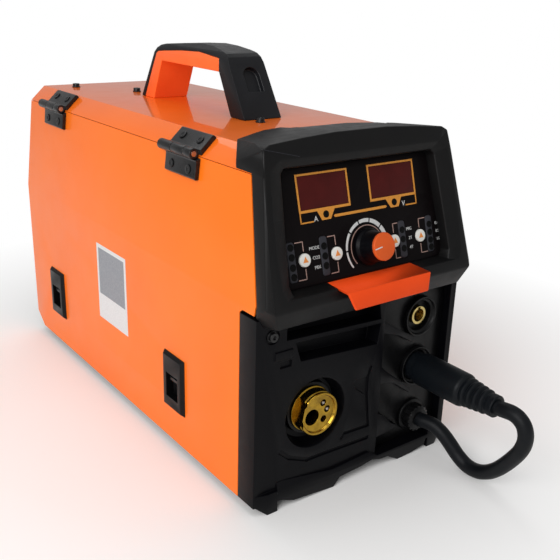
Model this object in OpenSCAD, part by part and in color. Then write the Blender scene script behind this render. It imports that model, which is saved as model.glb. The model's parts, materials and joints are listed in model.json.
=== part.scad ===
// Portable MIG welding machine: sheet-metal cabinet, moulded front, carrying handle, wire feeder.
// The front face of the lower moulding is the plane y = 0 of the outlines below, +y runs to the
// rear and +z up. placed() then moves each piece so that the origin is the middle of the footprint.

/* [Cabinet] */
// Width over both side panels
body_w = 226; // [226:1:280]
// Depth from the front moulding's face to the rear edge of the panels
body_d = 479; // [399:1:600]
// Thickness of the sheet steel
sheet = 1.2; // [0.8:0.1:1.5]
// Height of the cabinet's underside above the floor
belly_z = 8.4; // [8:0.1:12]
// Height at which the sides start to lean in
shoulder_z = 186.5; // [180:0.5:187]
// How far each side leans in between shoulder and seam
lean_in = 12; // [8:0.5:16]
// Height of the seam that the door hangs from
seam_z = 285; // [284:0.5:286]
// Width of the bevel between seam and roof
bevel_in = 16.6; // [14:0.2:19]
// Height of the bevel between seam and roof
bevel_rise = 15.5; // [14:0.5:16]
// Height of the cut along the rear lower edge
chin = 14.6; // [10:0.1:18]

/* [Lower front moulding] */
// Depth of the lower moulding's side walls
bezel_d = 23; // [21:0.5:23]
// Wall of the front mouldings
wall = 3; // [2.5:0.1:4]
// Height of the lower moulding's top edge
bezel_top = 178; // [177:0.1:178]
// How far the skirt and feet stand out in front
skirt_out = 3.5; // [2:0.5:5]
// Depth of the storage slots
slot_depth = 15; // [8:1:17]
// Depth of the well round the torch connector
well_depth = 13; // [8:1:14]
// Depth of the decorative grooves
groove_depth = 1.8; // [1:0.1:2.2]
// Depth of the socket bay
bay_depth = 9; // [6:0.5:10]

/* [Hood and control panel] */
// Angle at which the control panel leans back
lean = 15.7; // [15:0.1:16]
// How far the hood's widest edge stands in front
nose_y = 16.7; // [16:0.1:17]
// Height of that edge
nose_z = 186.8; // [186:0.1:188]
// Height of the hood's lower front edge
hood_foot_z = 171; // [168:0.5:173]
// Height of the crown in the middle
crown_z = 312.6; // [311:0.1:314]
// Depth of the control recess
recess_depth = 13; // [8:0.5:13]
// Thickness of the control panel
panel_t = 2; // [1.5:0.1:2]
// Width of a display window
window_w = 49.4; // [40:0.2:52]
// Height of a display window
window_h = 26.6; // [20:0.2:30]
// Diameter of a push button
button_d = 10.8; // [9:0.1:12]
// Travel of a push button
button_travel = 1.2; // [0.6:0.1:1.4]
// Diameter of the adjusting knob's cap
knob_d = 23.2; // [18:0.2:26]
// Height of the knob above the panel
knob_h = 21; // [14:0.5:26]
// Radius of the knob's shaft
shaft_r = 3; // [2.5:0.1:4]
// Reach of the orange lip in front
lip_reach = 30; // [24:0.5:34]
// Half width of the lip
lip_half = 46.3; // [38:0.1:48]

/* [Handle] */
// Half width of the handle at its feet
grip_half = 21; // [16:0.5:24]
// Height of the handle's highest point
grip_top = 363; // [355:0.5:370]
// Height of the finger opening's roof
finger_z = 340; // [334:0.5:342]

/* [Hinges and latches] */
// Length of a hinge leaf
leaf_len = 50; // [40:1:60]
// Thickness of a hinge leaf
leaf_t = 4.4; // [3:0.1:5]
// Radius of a hinge barrel
barrel_r = 4.6; // [4:0.1:4.7]
// Radius of a hinge pin
pin_r = 2.3; // [1.5:0.1:3]
// Width of a latch frame
latch_w = 36; // [30:1:40]
// Height of a latch frame
latch_h = 56; // [50:1:62]
// How far a latch frame stands proud
latch_proud = 3.6; // [2:0.1:4]
// Throw of a latch bolt
bolt_throw = 8; // [4:0.5:9]

/* [Front connectors] */
// Outside radius of the torch connector
torch_r = 19.5; // [17:0.5:20]
// How far the torch connector's collar stands out
collar_out = 1.2; // [0.6:0.1:2]
// Radius of the torch connector's main bore
torch_bore_r = 7.2; // [4:0.1:7.4]
// Outside radius of a cable socket
socket_r = 19; // [16:0.5:20]
// Radius of a cable socket's contact bore
contact_r = 6.25; // [4.5:0.25:7]
// Radius of the plug's rubber sleeve
plug_r = 15.5; // [12:0.5:16]
// Diameter of the polarity cable
cable_d = 13.5; // [10:0.5:14]
// Radius of the cable gland's nut
gland_r = 13; // [11:0.5:14]

/* [Wire feeder and spool] */
// Radius of the spool's flanges
spool_r = 100; // [80:1:100]
// Width of the spool
spool_w = 55; // [45:1:55]
// Radius of the spindle
spindle_r = 25.5; // [20:0.5:26]
// Radius of the drive roll
roll_r = 15; // [12:0.5:16]
// Radius of the pressure roll
idler_r = 11; // [9:0.5:12]
// Welding wire diameter that the rolls leave room for
wire_d = 1; // [0.6:0.1:1.2]

/* [Rear] */
// Side of the square cooling fan
fan_side = 92; // [80:1:92]
// Radius of the gas inlet's hose tail
barb_r = 4.5; // [3:0.25:5]
// Length of the gas inlet's hose tail
barb_len = 18; // [14:1:24]
// Radius of the hole through the mains gland
mains_r = 6; // [4:0.25:7]

/* [Fits] */
// Gap round the door and between moving shells
door_gap = 0.5; // [0.3:0.1:1]
// Running clearance of shafts and pins
run_fit = 0.05; // [0.02:0.01:0.1]
// Clearance of a button or slider in its hole
slide_fit = 0.25; // [0.2:0.05:0.4]
// Clearance between mouldings that slip together
slip_fit = 0.2; // [0.1:0.05:0.4]

/* [Hidden] */

// Cabinet section and side outline
half = body_w / 2;
seam_half = half - lean_in;
roof_half = seam_half - bevel_in;
roof_z = seam_z + bevel_rise;
inner_roof_z = roof_z - sheet;
tray_z = belly_z + sheet;
door_front = bezel_d + door_gap;
panel_rear = body_d - 1;
step_z = bezel_top + 3;
step_y = 3.5;
hood_heel = [1.5, 189.5];
hood_back_y = 27.5;
cover_y = hood_back_y + door_gap;
rear_reach = panel_rear + 3 + barb_len;
mid_y = (rear_reach - lip_reach) / 2;
bevel_angle = atan2(bevel_rise, bevel_in);
lean_angle = atan2(lean_in, seam_z - shoulder_z);

// Front
socket_x = half - 38;
socket_zs = [138, 88];
gland_z = 36;
plate_y = bay_depth;
plate_t = 3;
torch_x = -51;
torch_z = 82;
torch_front = -6.5;
torch_rear = 44;
wire_x = torch_x - 6.5;
wire_z = torch_z - 2;
bay_x0 = 24;
bay_x1 = half - 7;
bay_z0 = 14;
bay_z1 = 165;
foot_in = 12.5;
foot_side = 23;
front_half = half - 5.5;
throat_low = front_half - 19.1;
throat_high = front_half - 25;
throat_depth = 4;
throat_s0 = 18.5;
throat_s1 = 103.5;
draft = 1;
floor_s0 = 13.8;
floor_s1 = 106.5;
board_half = throat_high - 13.6;
display_x = 37.3;
display_s = 86.5;
strip_xs = [-76.8, -43.9, 42.5, 75.3];
strip_w = 7.6;
strip_h = 31.8;
strip_round = 2.5;
control_s = 35;
button_xs = [-64.5, -31.7, 32.5, 63.2];
board_h = recess_depth + panel_t + 11;
board_t = 1.6;
knob_base_r = 15.5;
cap_t = 3;
knob_gap = 0.4;
knob_x = 2;
lip_x = 1.6;
lip_back = 0.05;
lip_t = 2.6;
lip_top = nose_z + 9.6;
lip_low = nose_z - 5.8;

// Handle outline in y and z, and the pocket in its front leg
grip_front = 154;
grip_rear = 355;
grip_lean = 30.9;
pocket_x = 1.75;
pocket_s = 28;
pocket_half = 8.75;
pocket_depth = 5;

// Hinges and latches
leaf_ys = [99, 375];
axis_out = 5.4;
axis_x = seam_half + axis_out * cos(atan2(0.453, 0.891));
axis_z = seam_z + axis_out * sin(atan2(0.453, 0.891));
barrel_len = 15;
latch_ys = [128, 402];
latch_z = 71;
window_z = latch_z - 15.8;
finger_h = 24;
tab_z = window_z + 8.8 + bolt_throw;
keeper_z = 30;

// Spool and feeder
spool_y = body_d - 149;
spool_z = 150;
spool_x = -47;
divider_x = 8;
divider_y = cover_y + 18;
flange_t = 3;
core_r = 48;
wind_r = 82;
feed_y = 120;
roll_w = 12;
roll_x = wire_x - roll_w / 2;
roll_z = wire_z - wire_d / 2 - roll_r;
idler_z = wire_z + wire_d / 2 + idler_r;
web_x = -46;
web_t = 6;
arm_t = 5;
motor_r = 27;
shelf_t = 6;
shelf_z = roll_z - motor_r - 1 - shelf_t;
pivot_y = 166;
pivot_r = 4;
stud_y = 86;

// Rear
fan_x = divider_x + sheet + 51;
fan_z = 166;
fan_t = 25;
fan_y = panel_rear - sheet - fan_t;
fan_bore_r = fan_side / 2 - 3;
inlet_x = -62;
inlet_z = 70;
mains_x = 60;
mains_z = 62;
switch_x = 60;
switch_z = 246;
switch_w = 24;
switch_h = 30;
rocker_w = 13;
rocker_h = 21;
rocker_tilt = 10;

// Route of the polarity cable, from the plug's collar round to the gland
cable_route = [[75, -89, 88], [75, -92, 88], [75, -98, 88.8], [75.3, -104, 89.2], [76, -110, 87.6],
    [77, -115.5, 82.5], [78, -118, 74.5], [79.5, -117, 65], [81, -113, 55],
    [83, -106, 44], [84.5, -98, 33], [86, -89, 22.5], [87, -79, 14],
    [87, -68, 9], [87, -56, 8.5], [86, -46, 13.5], [84, -38, 21.5],
    [81.5, -30, 29.5], [79, -21, 35], [76.5, -12.5, 36.4], [75, -7.5, 36], [75, -4.5, 36]];
cable_sides = 10;

// ---- helpers ----

// Moves a piece from the outlines' frame to the frame of the part
module placed() {
    translate([0, -mid_y, 0]) children();
}

// Extrudes an outline in y and z along x
module along_x(x0, x1) {
    translate([x0, 0, 0]) rotate([90, 0, 90]) linear_extrude(height = x1 - x0) children();
}

// Extrudes an outline in x and z along y
module along_y(y0, y1) {
    translate([0, y1, 0]) rotate([90, 0, 0]) linear_extrude(height = y1 - y0) children();
}

// Turned profile of radius and length about a line along y, from y0 on
module turned_y(x, y0, z) {
    translate([x, y0, z]) rotate([-90, 0, 0]) rotate_extrude($fn = 64) children();
}

// Round bar along y, x or z
module bar_y(x, z, y0, y1, r) {
    translate([x, y0, z]) rotate([-90, 0, 0]) cylinder(r = r, h = y1 - y0, $fn = 48);
}
module bar_x(y, z, x0, x1, r) {
    translate([x0, y, z]) rotate([0, 90, 0]) cylinder(r = r, h = x1 - x0, $fn = 64);
}
module bar_z(x, y, z0, z1, r) {
    translate([x, y, z0]) cylinder(r = r, h = z1 - z0, $fn = 48);
}

// Box between two corners
module box(low, high) {
    translate(low) cube(high - low);
}

// Frame of the control panel: x across, y up the slope, z out of the panel
module on_panel() {
    translate([0, -nose_y, nose_z]) rotate([90 - lean, 0, 0]) children();
}

// Outline mirrored about x = 0 and closed
function both(points) = concat(points, [for (i = [len(points) - 1 : -1 : 0]) [-points[i][0],
    points[i][1]]]);

// Closed outline of a bent sheet whose inner face lies t towards x = 0
function bent(points, t) = concat(points, [for (i = [len(points) - 1 : -1 : 0]) points[i] - [t, 0]]);

// Everything on the far side of the plane through a, b and c
module beyond(a, b, c, out) {
    u = b - a;
    v = c - a;
    base = [a - 2 * u - 2 * v, a + 3 * u - 2 * v, a + 3 * u + 3 * v, a - 2 * u + 3 * v];
    hull() polyhedron(
        points = concat(base, [for (p = base) p + out]),
        faces = [[0, 1, 2, 3], [4, 7, 6, 5], [0, 4, 5, 1], [1, 5, 6, 2], [2, 6, 7, 3], [3, 7, 4, 0]]);
}

// Straight groove of a given width between two points
module groove(p, q, w) {
    d = q - p;
    translate(p) rotate(atan2(d[1], d[0])) translate([-w / 2, -w / 2]) square([norm(d) + w, w]);
}
module groove_path(points, w) {
    for (i = [0 : len(points) - 2]) groove(points[i], points[i + 1], w);
}

// Tube swept along a route, with its rings turned as little as possible
function unit(v) = v / norm(v);
function heading(r, i) = i == 0 ? unit(r[1] - r[0])
    : i == len(r) - 1 ? unit(r[i] - r[i - 1])
    : unit(unit(r[i + 1] - r[i]) + unit(r[i] - r[i - 1]));
function ring_x(t) = unit(cross(t, [1, 0.1, 0]));
function ring(r, i, rad, n) =
    let (t = heading(r, i), u = ring_x(t), v = cross(t, u))
    [for (k = [0 : n - 1]) r[i] + rad * (cos(360 * k / n) * u + sin(360 * k / n) * v)];
module tube(route, d, n) {
    m = len(route);
    points = [for (i = [0 : m - 1]) each ring(route, i, d / 2, n)];
    sides = [for (i = [0 : m - 2]) for (k = [0 : n - 1])
        [i * n + k, (i + 1) * n + k, (i + 1) * n + (k + 1) % n, i * n + (k + 1) % n]];
    caps = [[for (k = [0 : n - 1]) k], [for (k = [n - 1 : -1 : 0]) (m - 1) * n + k]];
    polyhedron(points = points, faces = concat(sides, caps));
}

// ---- cabinet ----

// Right-hand outline of the cabinet in x and z
function cabinet_edge(inset) = [[half - inset, belly_z], [half - inset, shoulder_z],
    [seam_half - inset, seam_z], [roof_half - inset / 2, roof_z - inset]];

// Side outline of a side panel in y and z
function side_outline() = [[door_front, belly_z], [door_front, step_z - 3], [door_front - 4, step_z],
    [step_y, step_z], hood_heel + [door_gap, 0], [cover_y, seam_z], [body_d, seam_z],
    [body_d, belly_z + chin], [body_d - 19, belly_z]];

module side_sheet(top_gap) {
    intersection() {
        along_y(0, body_d) polygon(bent([[half, belly_z], [half, shoulder_z],
            [seam_half, seam_z]], sheet));
        along_x(seam_half - 10, half + 10) polygon(side_outline());
        box([0, 0, 0], [half + 10, body_d, seam_z - top_gap]);
    }
}

module base_tray() {
    low = [[bezel_d, belly_z], [body_d - 20, belly_z], [panel_rear - sheet, belly_z + chin - 2],
        [panel_rear - sheet, keeper_z], [bezel_d, keeper_z]];
    color("dimgray") placed() difference() {
        along_x(-half + sheet + door_gap, half - sheet) polygon(low);
        along_x(-half + 2 * sheet + door_gap, half - 2 * sheet) polygon([[bezel_d + sheet, tray_z],
            [body_d - 21, tray_z], [panel_rear - 2 * sheet, belly_z + chin - 1],
            [panel_rear - 2 * sheet, keeper_z + 1], [bezel_d + sheet, keeper_z + 1]]);
    }
}

module right_side_panel() {
    color("darkorange") placed() side_sheet(0);
}

module top_cover() {
    outer = both([[seam_half, seam_z], [roof_half, roof_z]]);
    inner = both([[seam_half - sheet, seam_z], [roof_half - sheet / 2, inner_roof_z]]);
    color("darkorange") placed() along_y(cover_y, body_d)
        polygon(concat(outer, [for (i = [3 : -1 : 0]) inner[i]]));
}

module rear_panel() {
    gap = sheet + door_gap;
    outline = concat([[half - sheet, keeper_z - 8], [half - sheet, shoulder_z],
        [seam_half - sheet, seam_z],
        [roof_half - sheet / 2, inner_roof_z]], [[-roof_half + sheet / 2, inner_roof_z],
        [-seam_half + gap, seam_z], [-half + gap, shoulder_z], [-half + gap, keeper_z - 8]]);
    color("dimgray") placed() difference() {
        along_y(panel_rear - sheet, panel_rear) polygon(outline);
        for (row = [-4 : 4])
            box([fan_x - 38, panel_rear - 5, fan_z + row * 9 - 2],
                [fan_x + 38, panel_rear + 5, fan_z + row * 9 + 2]);
        bar_y(inlet_x, inlet_z, panel_rear - 5, panel_rear + 5, 7.2);
        bar_y(mains_x, mains_z, panel_rear - 5, panel_rear + 5, 11.2);
        box([switch_x - switch_w / 2 + 2, panel_rear - 5, switch_z - switch_h / 2 + 2],
            [switch_x + switch_w / 2 - 2, panel_rear + 5, switch_z + switch_h / 2 - 2]);
    }
}

module centre_divider() {
    color("silver") placed() difference() {
        along_x(divider_x, divider_x + sheet) polygon([[divider_y, tray_z], [body_d - 21, tray_z],
            [panel_rear - 2 * sheet, belly_z + chin - 1], [panel_rear - 2 * sheet, keeper_z],
            [panel_rear - sheet, keeper_z], [panel_rear - sheet, inner_roof_z],
                [divider_y, inner_roof_z]]);
        bar_x(feed_y, roll_z, divider_x - 5, divider_x + 5, motor_r + 1);
        box([divider_x - 5, 60, 200], [divider_x + 5, 100, 230]);
    }
}

// ---- lower front moulding ----

module foot_block(side) {
    mirror([side < 0 ? 1 : 0, 0, 0]) intersection() {
        along_y(-skirt_out, bezel_d) polygon([[half, belly_z + 2], [half - foot_in, 0],
            [half - foot_side, 0], [half - foot_side, 20], [half, 20]]);
        linear_extrude(height = 30) polygon([[half, 0], [half - foot_in, -skirt_out],
            [half - foot_side, -skirt_out], [half - foot_side, bezel_d], [half, bezel_d]]);
    }
}

module skirt() {
    intersection() {
        along_y(-skirt_out, wall) polygon([[-half + foot_side, 9.5], [-87, 9.5], [-73, 3.9],
            [-28, 0], [-21, 7.6], [4, 9.2], [18, 11.3], [27, 8.5], [38, 7.6], [51, 0], [69, 0.8],
            [half - 27, 3.6], [half - 25, 9.9], [half - foot_side, 9.9], [half - foot_side, bay_z0],
            [bay_x0, bay_z0], [13.6, 20.4], [-30, 18.5], [-85, 26.5], [-half + foot_side, 26]]);
        along_x(-half, half) polygon([[-skirt_out, 0], [wall, 0], [wall, 28], [0, 28], [-skirt_out, 16]]);
    }
}

module upper_slot() {
    polygon([[-83, 166], [16, 166], [19, 150.2], [-83, 155]]);
}
module lower_slot() {
    polygon([[-74, 150.8], [19.5, 145.8], [16.5, 127], [-68, 133]]);
}

module bay_webs() {
    webs = [[[bay_x0, 145.7], [52, 128.7], [69, 119.2], [65, 114.9], [44.3, 127.1], [28.4, 132.7],
        [bay_x0, 134.7]],
        [[bay_x0, 102.2], [37, 91], [55.6, 77.6], [69.8, 65], [67.9, 61.9], [42.7, 80.4], [bay_x0, 86]],
        [[bay_x0, 55.7], [36.2, 47.5], [45, 38.2], [54, 33], [44, 30], [bay_x0, 31]]];
    intersection() {
        union() for (web = webs) along_y(0, bay_depth) polygon(web);
        linear_extrude(height = 200) polygon([[bay_x0, 0], [bay_x0, bay_depth], [74, bay_depth],
            [74, 6]]);
    }
}

module plate_block() {
    box([bay_x0 - wall, plate_y, bay_z0 - wall], [bay_x1 + wall, plate_y + plate_t, bay_z1 + wall]);
}

module lower_bezel() {
    inner = [[-half + wall, belly_z + wall], [-half + wall, bezel_top - wall],
        [half - wall, bezel_top - wall], [half - wall, belly_z + wall]];
    color("#26262b") placed() difference() {
        union() {
            difference() {
                box([-half, 0, belly_z], [half, bezel_d, bezel_top]);
                along_y(wall, bezel_d + 1) polygon(inner);
                along_y(-1, wall + 1) polygon([[bay_x0, bay_z0], [bay_x1, bay_z0], [bay_x1, bay_z1],
                    [bay_x0, bay_z1]]);
            }
            difference() {
                box([bay_x0 - wall, 0, bay_z0 - wall], [bay_x1 + wall, bay_depth, bay_z1 + wall]);
                box([bay_x0, -1, bay_z0], [bay_x1, bay_depth + 1, bay_z1]);
            }
            bay_webs();
            box([-86, 0, 124], [bay_x0, slot_depth + 2, 169]);
            bar_y(torch_x, torch_z - 2, 0, well_depth + 3, 34);
            foot_block(-1);
            foot_block(1);
            skirt();
            box([-half + 18, -1.4, 140], [-half + 36, wall, 147]);
        }
        plate_block();
        along_y(-1, slot_depth) upper_slot();
        along_y(-1, slot_depth) lower_slot();
        turned_y(torch_x + 1, -1, torch_z - 2)
            polygon([[0, 0], [32.5, 0], [32, 1], [28, well_depth + 1], [0, well_depth + 1]]);
        bar_y(torch_x, torch_z, 0, bezel_d, torch_r + 4.4);
        bar_y(-half + 16, 161.4, -1, 2, 6.4);
        box([-half + 24, -1, 131.6], [-half + 35.4, 2, 137.2]);
        along_y(-1, groove_depth) {
            groove_path([[11, 106], [7.6, 97], [7.6, 80], [12, 48], [-15.6, 49], [-18.8, 45]], 3);
            polygon([[-9.4, 95.8], [-4.3, 98.8], [6.5, 98], [6.5, 80], [-5.4, 89.5]]);
            groove_path([[-86, 53.7], [-77, 45.7], [-57, 36.9], [-38, 36.8], [12, 35.2]], 3.5);
        }
    }
}

module socket_plate() {
    color("#1d1d20") placed() difference() {
        plate_block();
        for (z = socket_zs) bar_y(socket_x, z, 0, 30, 15.2);
        bar_y(socket_x, gland_z, 0, 30, 10.2);
    }
}

// ---- hood ----

// Solid of the hood before the recess is cut
module hood_block() {
    front_top = [-nose_y + 131 * sin(lean), nose_z + 131 * cos(lean)];
    side = [[-10.7, hood_foot_z], [-nose_y, nose_z], front_top, [88, crown_z - 6.4],
        [88, seam_z], [hood_back_y, seam_z], hood_heel, [hood_heel[0], bezel_top], [0, bezel_top],
        [0, hood_foot_z]];
    section = both([[half, hood_foot_z - 5], [half, shoulder_z], [seam_half, seam_z],
        [seam_half - 2.8, crown_z - 8], [seam_half - 9, crown_z + 30]]);
    crown = both([[half + 30, seam_z - 150], [half + 30, crown_z - 8.4], [seam_half - 3, crown_z - 8.4],
        [seam_half - 9, crown_z - 5], [60.8, crown_z - 2.4], [28, crown_z - 0.5]]);
    plan = [[-half, -30], [-half, hood_back_y], [-seam_half, 48], [-roof_half - 3, 67],
        [-roof_half + 14, 75],
        [-49, 85], [-31, 85], [-29, 74], [-22, 74], [-22, 71], [66, 71], [67, 58], [74, 58],
        [75, 70], [roof_half, 70], [roof_half + 4, 66], [seam_half, 48], [half, hood_back_y],
            [half, -30]];
    nose = [front_half, -nose_y, nose_z];
    difference() {
        intersection() {
            along_x(-half, half) polygon(side);
            along_y(-30, 100) polygon(section);
            translate([0, 18, crown_z]) rotate([-5, 0, 0]) translate([0, -18, -crown_z])
                along_y(-60, 120) polygon(crown);
            linear_extrude(height = 400) polygon(plan);
        }
        for (m = [0, 1]) mirror([m, 0, 0]) {
            beyond(nose, [seam_half - 3, 17.2, crown_z - 5.6], [half, -12, nose_z], [60, -60, 0]);
            beyond(nose, [front_half - 6.8, -10.7, hood_foot_z], [half, -11.8, nose_z + 4.7],
                [60, -40, -60]);
            beyond([seam_half + 2.2, 48, seam_z + 2], [roof_half + 2, 70.5, roof_z + 2.7],
                [seam_half - 2.8, 16.4, crown_z - 8.2], [60, 0, 60]);
        }
        along_y(hood_back_y + 0.2, 100) polygon(both([[half + 1, seam_z - 90], [half + 1, seam_z - 0.2],
            [seam_half + 0.2, seam_z - 0.2], [seam_half + 0.2, seam_z], [roof_half, roof_z]]));
    }
}

// Half width of the recess between its lowest and highest corner, at its throat and below it
function throat_x(s, narrower) = throat_low - narrower
    + (throat_high - throat_low) * (s - throat_s0) / (throat_s1 - throat_s0);

// Outline of the recess at its rim, at its throat and at its floor, in the control panel's frame
function rim_points() = both([[front_half - 12.7, 8.8], [front_half - 8.9, 16.2],
    [front_half - 8, 42.7], [front_half - 8.6, 69.3], [front_half - 9.9, 87],
    [front_half - 11.7, 106.8], [front_half - 22, 113.6]]);
function throat_points() = both([[throat_low - 3, 10.4],
    each [for (s = [throat_s0, 42.7, 69.3, 87, throat_s1]) [throat_x(s, 0), s]],
    [throat_high - 3.5, 107]]);
function floor_points() = both([[throat_low - draft - 4, floor_s0],
    each [for (s = [throat_s0 + 1.5, 42.7, 69.3, 87, throat_s1 - 0.5]) [throat_x(s, draft), s]],
    [throat_high - draft - 3.5, floor_s1]]);

// Solid through outlines of equal length, each given with its height
module lofted(rings) {
    count = len(rings[0][1]);
    last = len(rings) - 1;
    polyhedron(
        points = [for (ring = rings) for (q = ring[1]) [q[0], q[1], ring[0]]],
        faces = concat([[for (i = [0 : count - 1]) i]],
            [[for (i = [count - 1 : -1 : 0]) last * count + i]],
            [for (k = [0 : last - 1]) for (i = [0 : count - 1])
                [k * count + i, (k + 1) * count + i, (k + 1) * count + (i + 1) % count]],
            [for (k = [0 : last - 1]) for (i = [0 : count - 1])
                [k * count + i, (k + 1) * count + (i + 1) % count, k * count + (i + 1) % count]]));
}

module recess() {
    lofted([[-recess_depth, floor_points()], [-throat_depth, throat_points()],
        [0.2, rim_points()], [6, rim_points()]]);
}

// Slot in the hood that takes the lip's upper plate
module lip_slot() {
    along_x(lip_x - lip_half - slip_fit, lip_x + lip_half + slip_fit)
        polygon([[-lip_back, lip_top + 2], [-lip_reach, lip_top + 2],
            [-lip_reach, lip_top - lip_t - 1.3 - slip_fit], [-lip_back, lip_top - lip_t - slip_fit]]);
}

module control_hood() {
    color("#2b2b2b") placed() difference() {
        hood_block();
        on_panel() {
            recess();
            translate([0, 0, -recess_depth - panel_t]) linear_extrude(height = panel_t + 0.1)
                polygon(floor_points());
            translate([-board_half - 3, 24, -30]) cube([2 * board_half + 6, 78, 20]);
        }
        lip_slot();
    }
}

module front_lip() {
    bend_y = 4.5 - lip_reach;
    color("orangered") placed() translate([lip_x, 0, 0]) intersection() {
        along_x(-lip_half, lip_half) polygon([[-lip_back, lip_top], [bend_y, lip_top - 1],
            [-lip_reach, lip_low], [lip_t - lip_reach, lip_low - 0.8],
            [bend_y + 2.1, lip_top - lip_t - 1], [-lip_back, lip_top - lip_t]]);
        along_y(-60, 10) polygon(both([[lip_half - 6.6, lip_low - 2], [lip_half, lip_top - 1],
            [lip_half, lip_top + 10]]));
    }
}

// ---- control panel and what it carries ----

// Outlines of the four strips, grown on all sides
module strip_outlines(grow) {
    inner = 2 * (grow - strip_round);
    for (x = strip_xs) translate([x, control_s]) offset(r = strip_round, $fn = 32)
        square([strip_w + inner, strip_h + inner], center = true);
}

module control_panel() {
    color("#141416") placed() on_panel() difference() {
        translate([0, 0, -recess_depth - panel_t]) linear_extrude(height = panel_t) difference() {
            offset(delta = -slip_fit) polygon(floor_points());
            for (x = [-display_x, display_x]) translate([x, display_s])
                square([window_w + 0.4, window_h + 0.4], center = true);
            strip_outlines(0.2);
        }
        for (x = button_xs) translate([x, control_s, -recess_depth - 9])
            cylinder(d = button_d + 2 * slide_fit, h = 20, $fn = 48);
        translate([knob_x, control_s, -recess_depth - 9])
            cylinder(r = shaft_r + 1, h = 20, $fn = 48);
    }
}

module display_windows() {
    color("#551e1c") placed() on_panel() for (x = [-display_x, display_x])
        translate([x - window_w / 2, display_s - window_h / 2, -recess_depth - panel_t - 11])
            cube([window_w, window_h, panel_t + 11]);
}

module indicator_strips() {
    color("#4a4a4e") placed() on_panel() translate([0, 0, -recess_depth - panel_t])
        linear_extrude(height = panel_t + 0.4) strip_outlines(0);
}

module control_board() {
    color("darkgreen") placed() on_panel() {
        translate([-board_half, 26, -board_h - board_t]) cube([2 * board_half, 74, board_t]);
        for (x = [-board_half + 3, board_half - 3], s = [61, 97]) translate([x, s, -board_h])
            cylinder(r = 2.5, h = board_h - recess_depth - panel_t, $fn = 32);
        translate([knob_x - 7, control_s - 7, -board_h]) cube([14, 14, 6]);
        for (x = button_xs) translate([x - 3, control_s - 3, -board_h]) cube([6, 6, 4]);
        translate([knob_x, control_s, -board_h + 1])
            cylinder(r = shaft_r, h = board_h - recess_depth + knob_h - cap_t - 4, $fn = 48);
    }
}

module knob_skirt() {
    color("#101012") placed() on_panel()
        translate([knob_x, control_s, -recess_depth + knob_gap]) difference() {
        rotate_extrude($fn = 64) polygon([[0, 0], [knob_base_r, 0], [knob_base_r, 2.5],
            [knob_base_r - 2, 5],
            [knob_d / 2, knob_h - cap_t - 2], [knob_d / 2 - 0.6, knob_h - cap_t - knob_gap],
                [0, knob_h - cap_t - knob_gap]]);
        translate([0, 0, -1]) cylinder(r = shaft_r + run_fit, h = knob_h - cap_t - knob_gap - 1,
            $fn = 48);
    }
}

module knob_cap() {
    color("orangered") placed() on_panel()
        translate([knob_x, control_s, -recess_depth + knob_h - cap_t])
        rotate_extrude($fn = 64) polygon([[0, 0], [knob_d / 2, 0], [knob_d / 2, cap_t - 0.8],
            [knob_d / 2 - 0.8, cap_t], [0, cap_t]]);
}

module push_button(x) {
    color("gainsboro") placed() on_panel() translate([x, control_s, -recess_depth]) {
        translate([0, 0, -panel_t - 1]) cylinder(d = button_d, h = panel_t + 2.5, $fn = 48);
        translate([0, 0, -board_h + recess_depth + 4 + button_travel + 0.3])
            cylinder(d = 4, h = board_h - recess_depth - panel_t - 5 - button_travel, $fn = 32);
    }
}

// ---- handle ----

finger_rear = grip_rear - 45;
grip_outline = [[grip_front, roof_z], [186, grip_top - 9], [191, grip_top - 5.8],
    [200, grip_top - 3.6], [218, grip_top - 1],
    [238, grip_top], [272, grip_top - 1.8], [grip_rear - 50, grip_top - 4.5],
        [grip_rear - 40, grip_top - 6.3],
    [grip_rear - 33, grip_top - 9.5], [grip_rear - 29, grip_top - 14], [grip_rear, roof_z]];
finger_outline = [[177, roof_z - 1], [199.5, finger_z], [finger_rear, finger_z + 1],
    [grip_rear - 26, roof_z - 1]];
liner_outline = [[grip_rear - 6.5, roof_z], [grip_rear - 33.5, grip_top - 15],
    [grip_rear - 37, grip_top - 12.8],
    [grip_rear - 50, grip_top - 11.5], [272, grip_top - 9], [238, grip_top - 7.8],
        [201, grip_top - 11], [190, roof_z + 20],
    [177, roof_z]];

module grip_section() {
    along_y(0, body_d) polygon(both([[grip_half, roof_z], [grip_half - 1, grip_top - 14],
        [grip_half - 3.5, grip_top - 5], [grip_half - 9, grip_top + 1]]));
}

module handle_shell() {
    color("#232326") placed() difference() {
        intersection() {
            along_x(-grip_half, grip_half) polygon(grip_outline);
            grip_section();
        }
        along_x(-30, 30) polygon(finger_outline);
        intersection() {
            along_x(-30, 30) polygon(liner_outline);
            along_x(-30, 30) polygon([[199.8, 200], [199.8, 400], [400, 400], [400, 200]]);
        }
        translate([0, grip_front, roof_z]) rotate([90 - grip_lean, 0, 0])
            translate([pocket_x, pocket_s, -pocket_depth]) linear_extrude(height = 30) {
                translate([-pocket_half, 0]) square([2 * pocket_half, 24 - pocket_half]);
                translate([0, 24 - pocket_half]) circle(r = pocket_half, $fn = 32);
            }
    }
}

module handle_liner() {
    color("orangered") placed() intersection() {
        difference() {
            along_x(-grip_half + 0.6, grip_half - 0.6) polygon(liner_outline);
            along_x(-30, 30) polygon(finger_outline);
        }
        along_x(-30, 30) polygon([[199.8, 200], [199.8, 400], [400, 400], [400, 200]]);
        grip_section();
    }
}

// Pan head screw standing on a face, its head towards +z
module pan_head() {
    difference() {
        union() {
            cylinder(r = 4.6, h = 1, $fn = 32);
            translate([0, 0, 1]) cylinder(r = 3.9, h = 3.2, $fn = 32);
        }
        translate([0, 0, 2.6]) cylinder(r = 1.7, h = 3, $fn = 24);
    }
}

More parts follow.
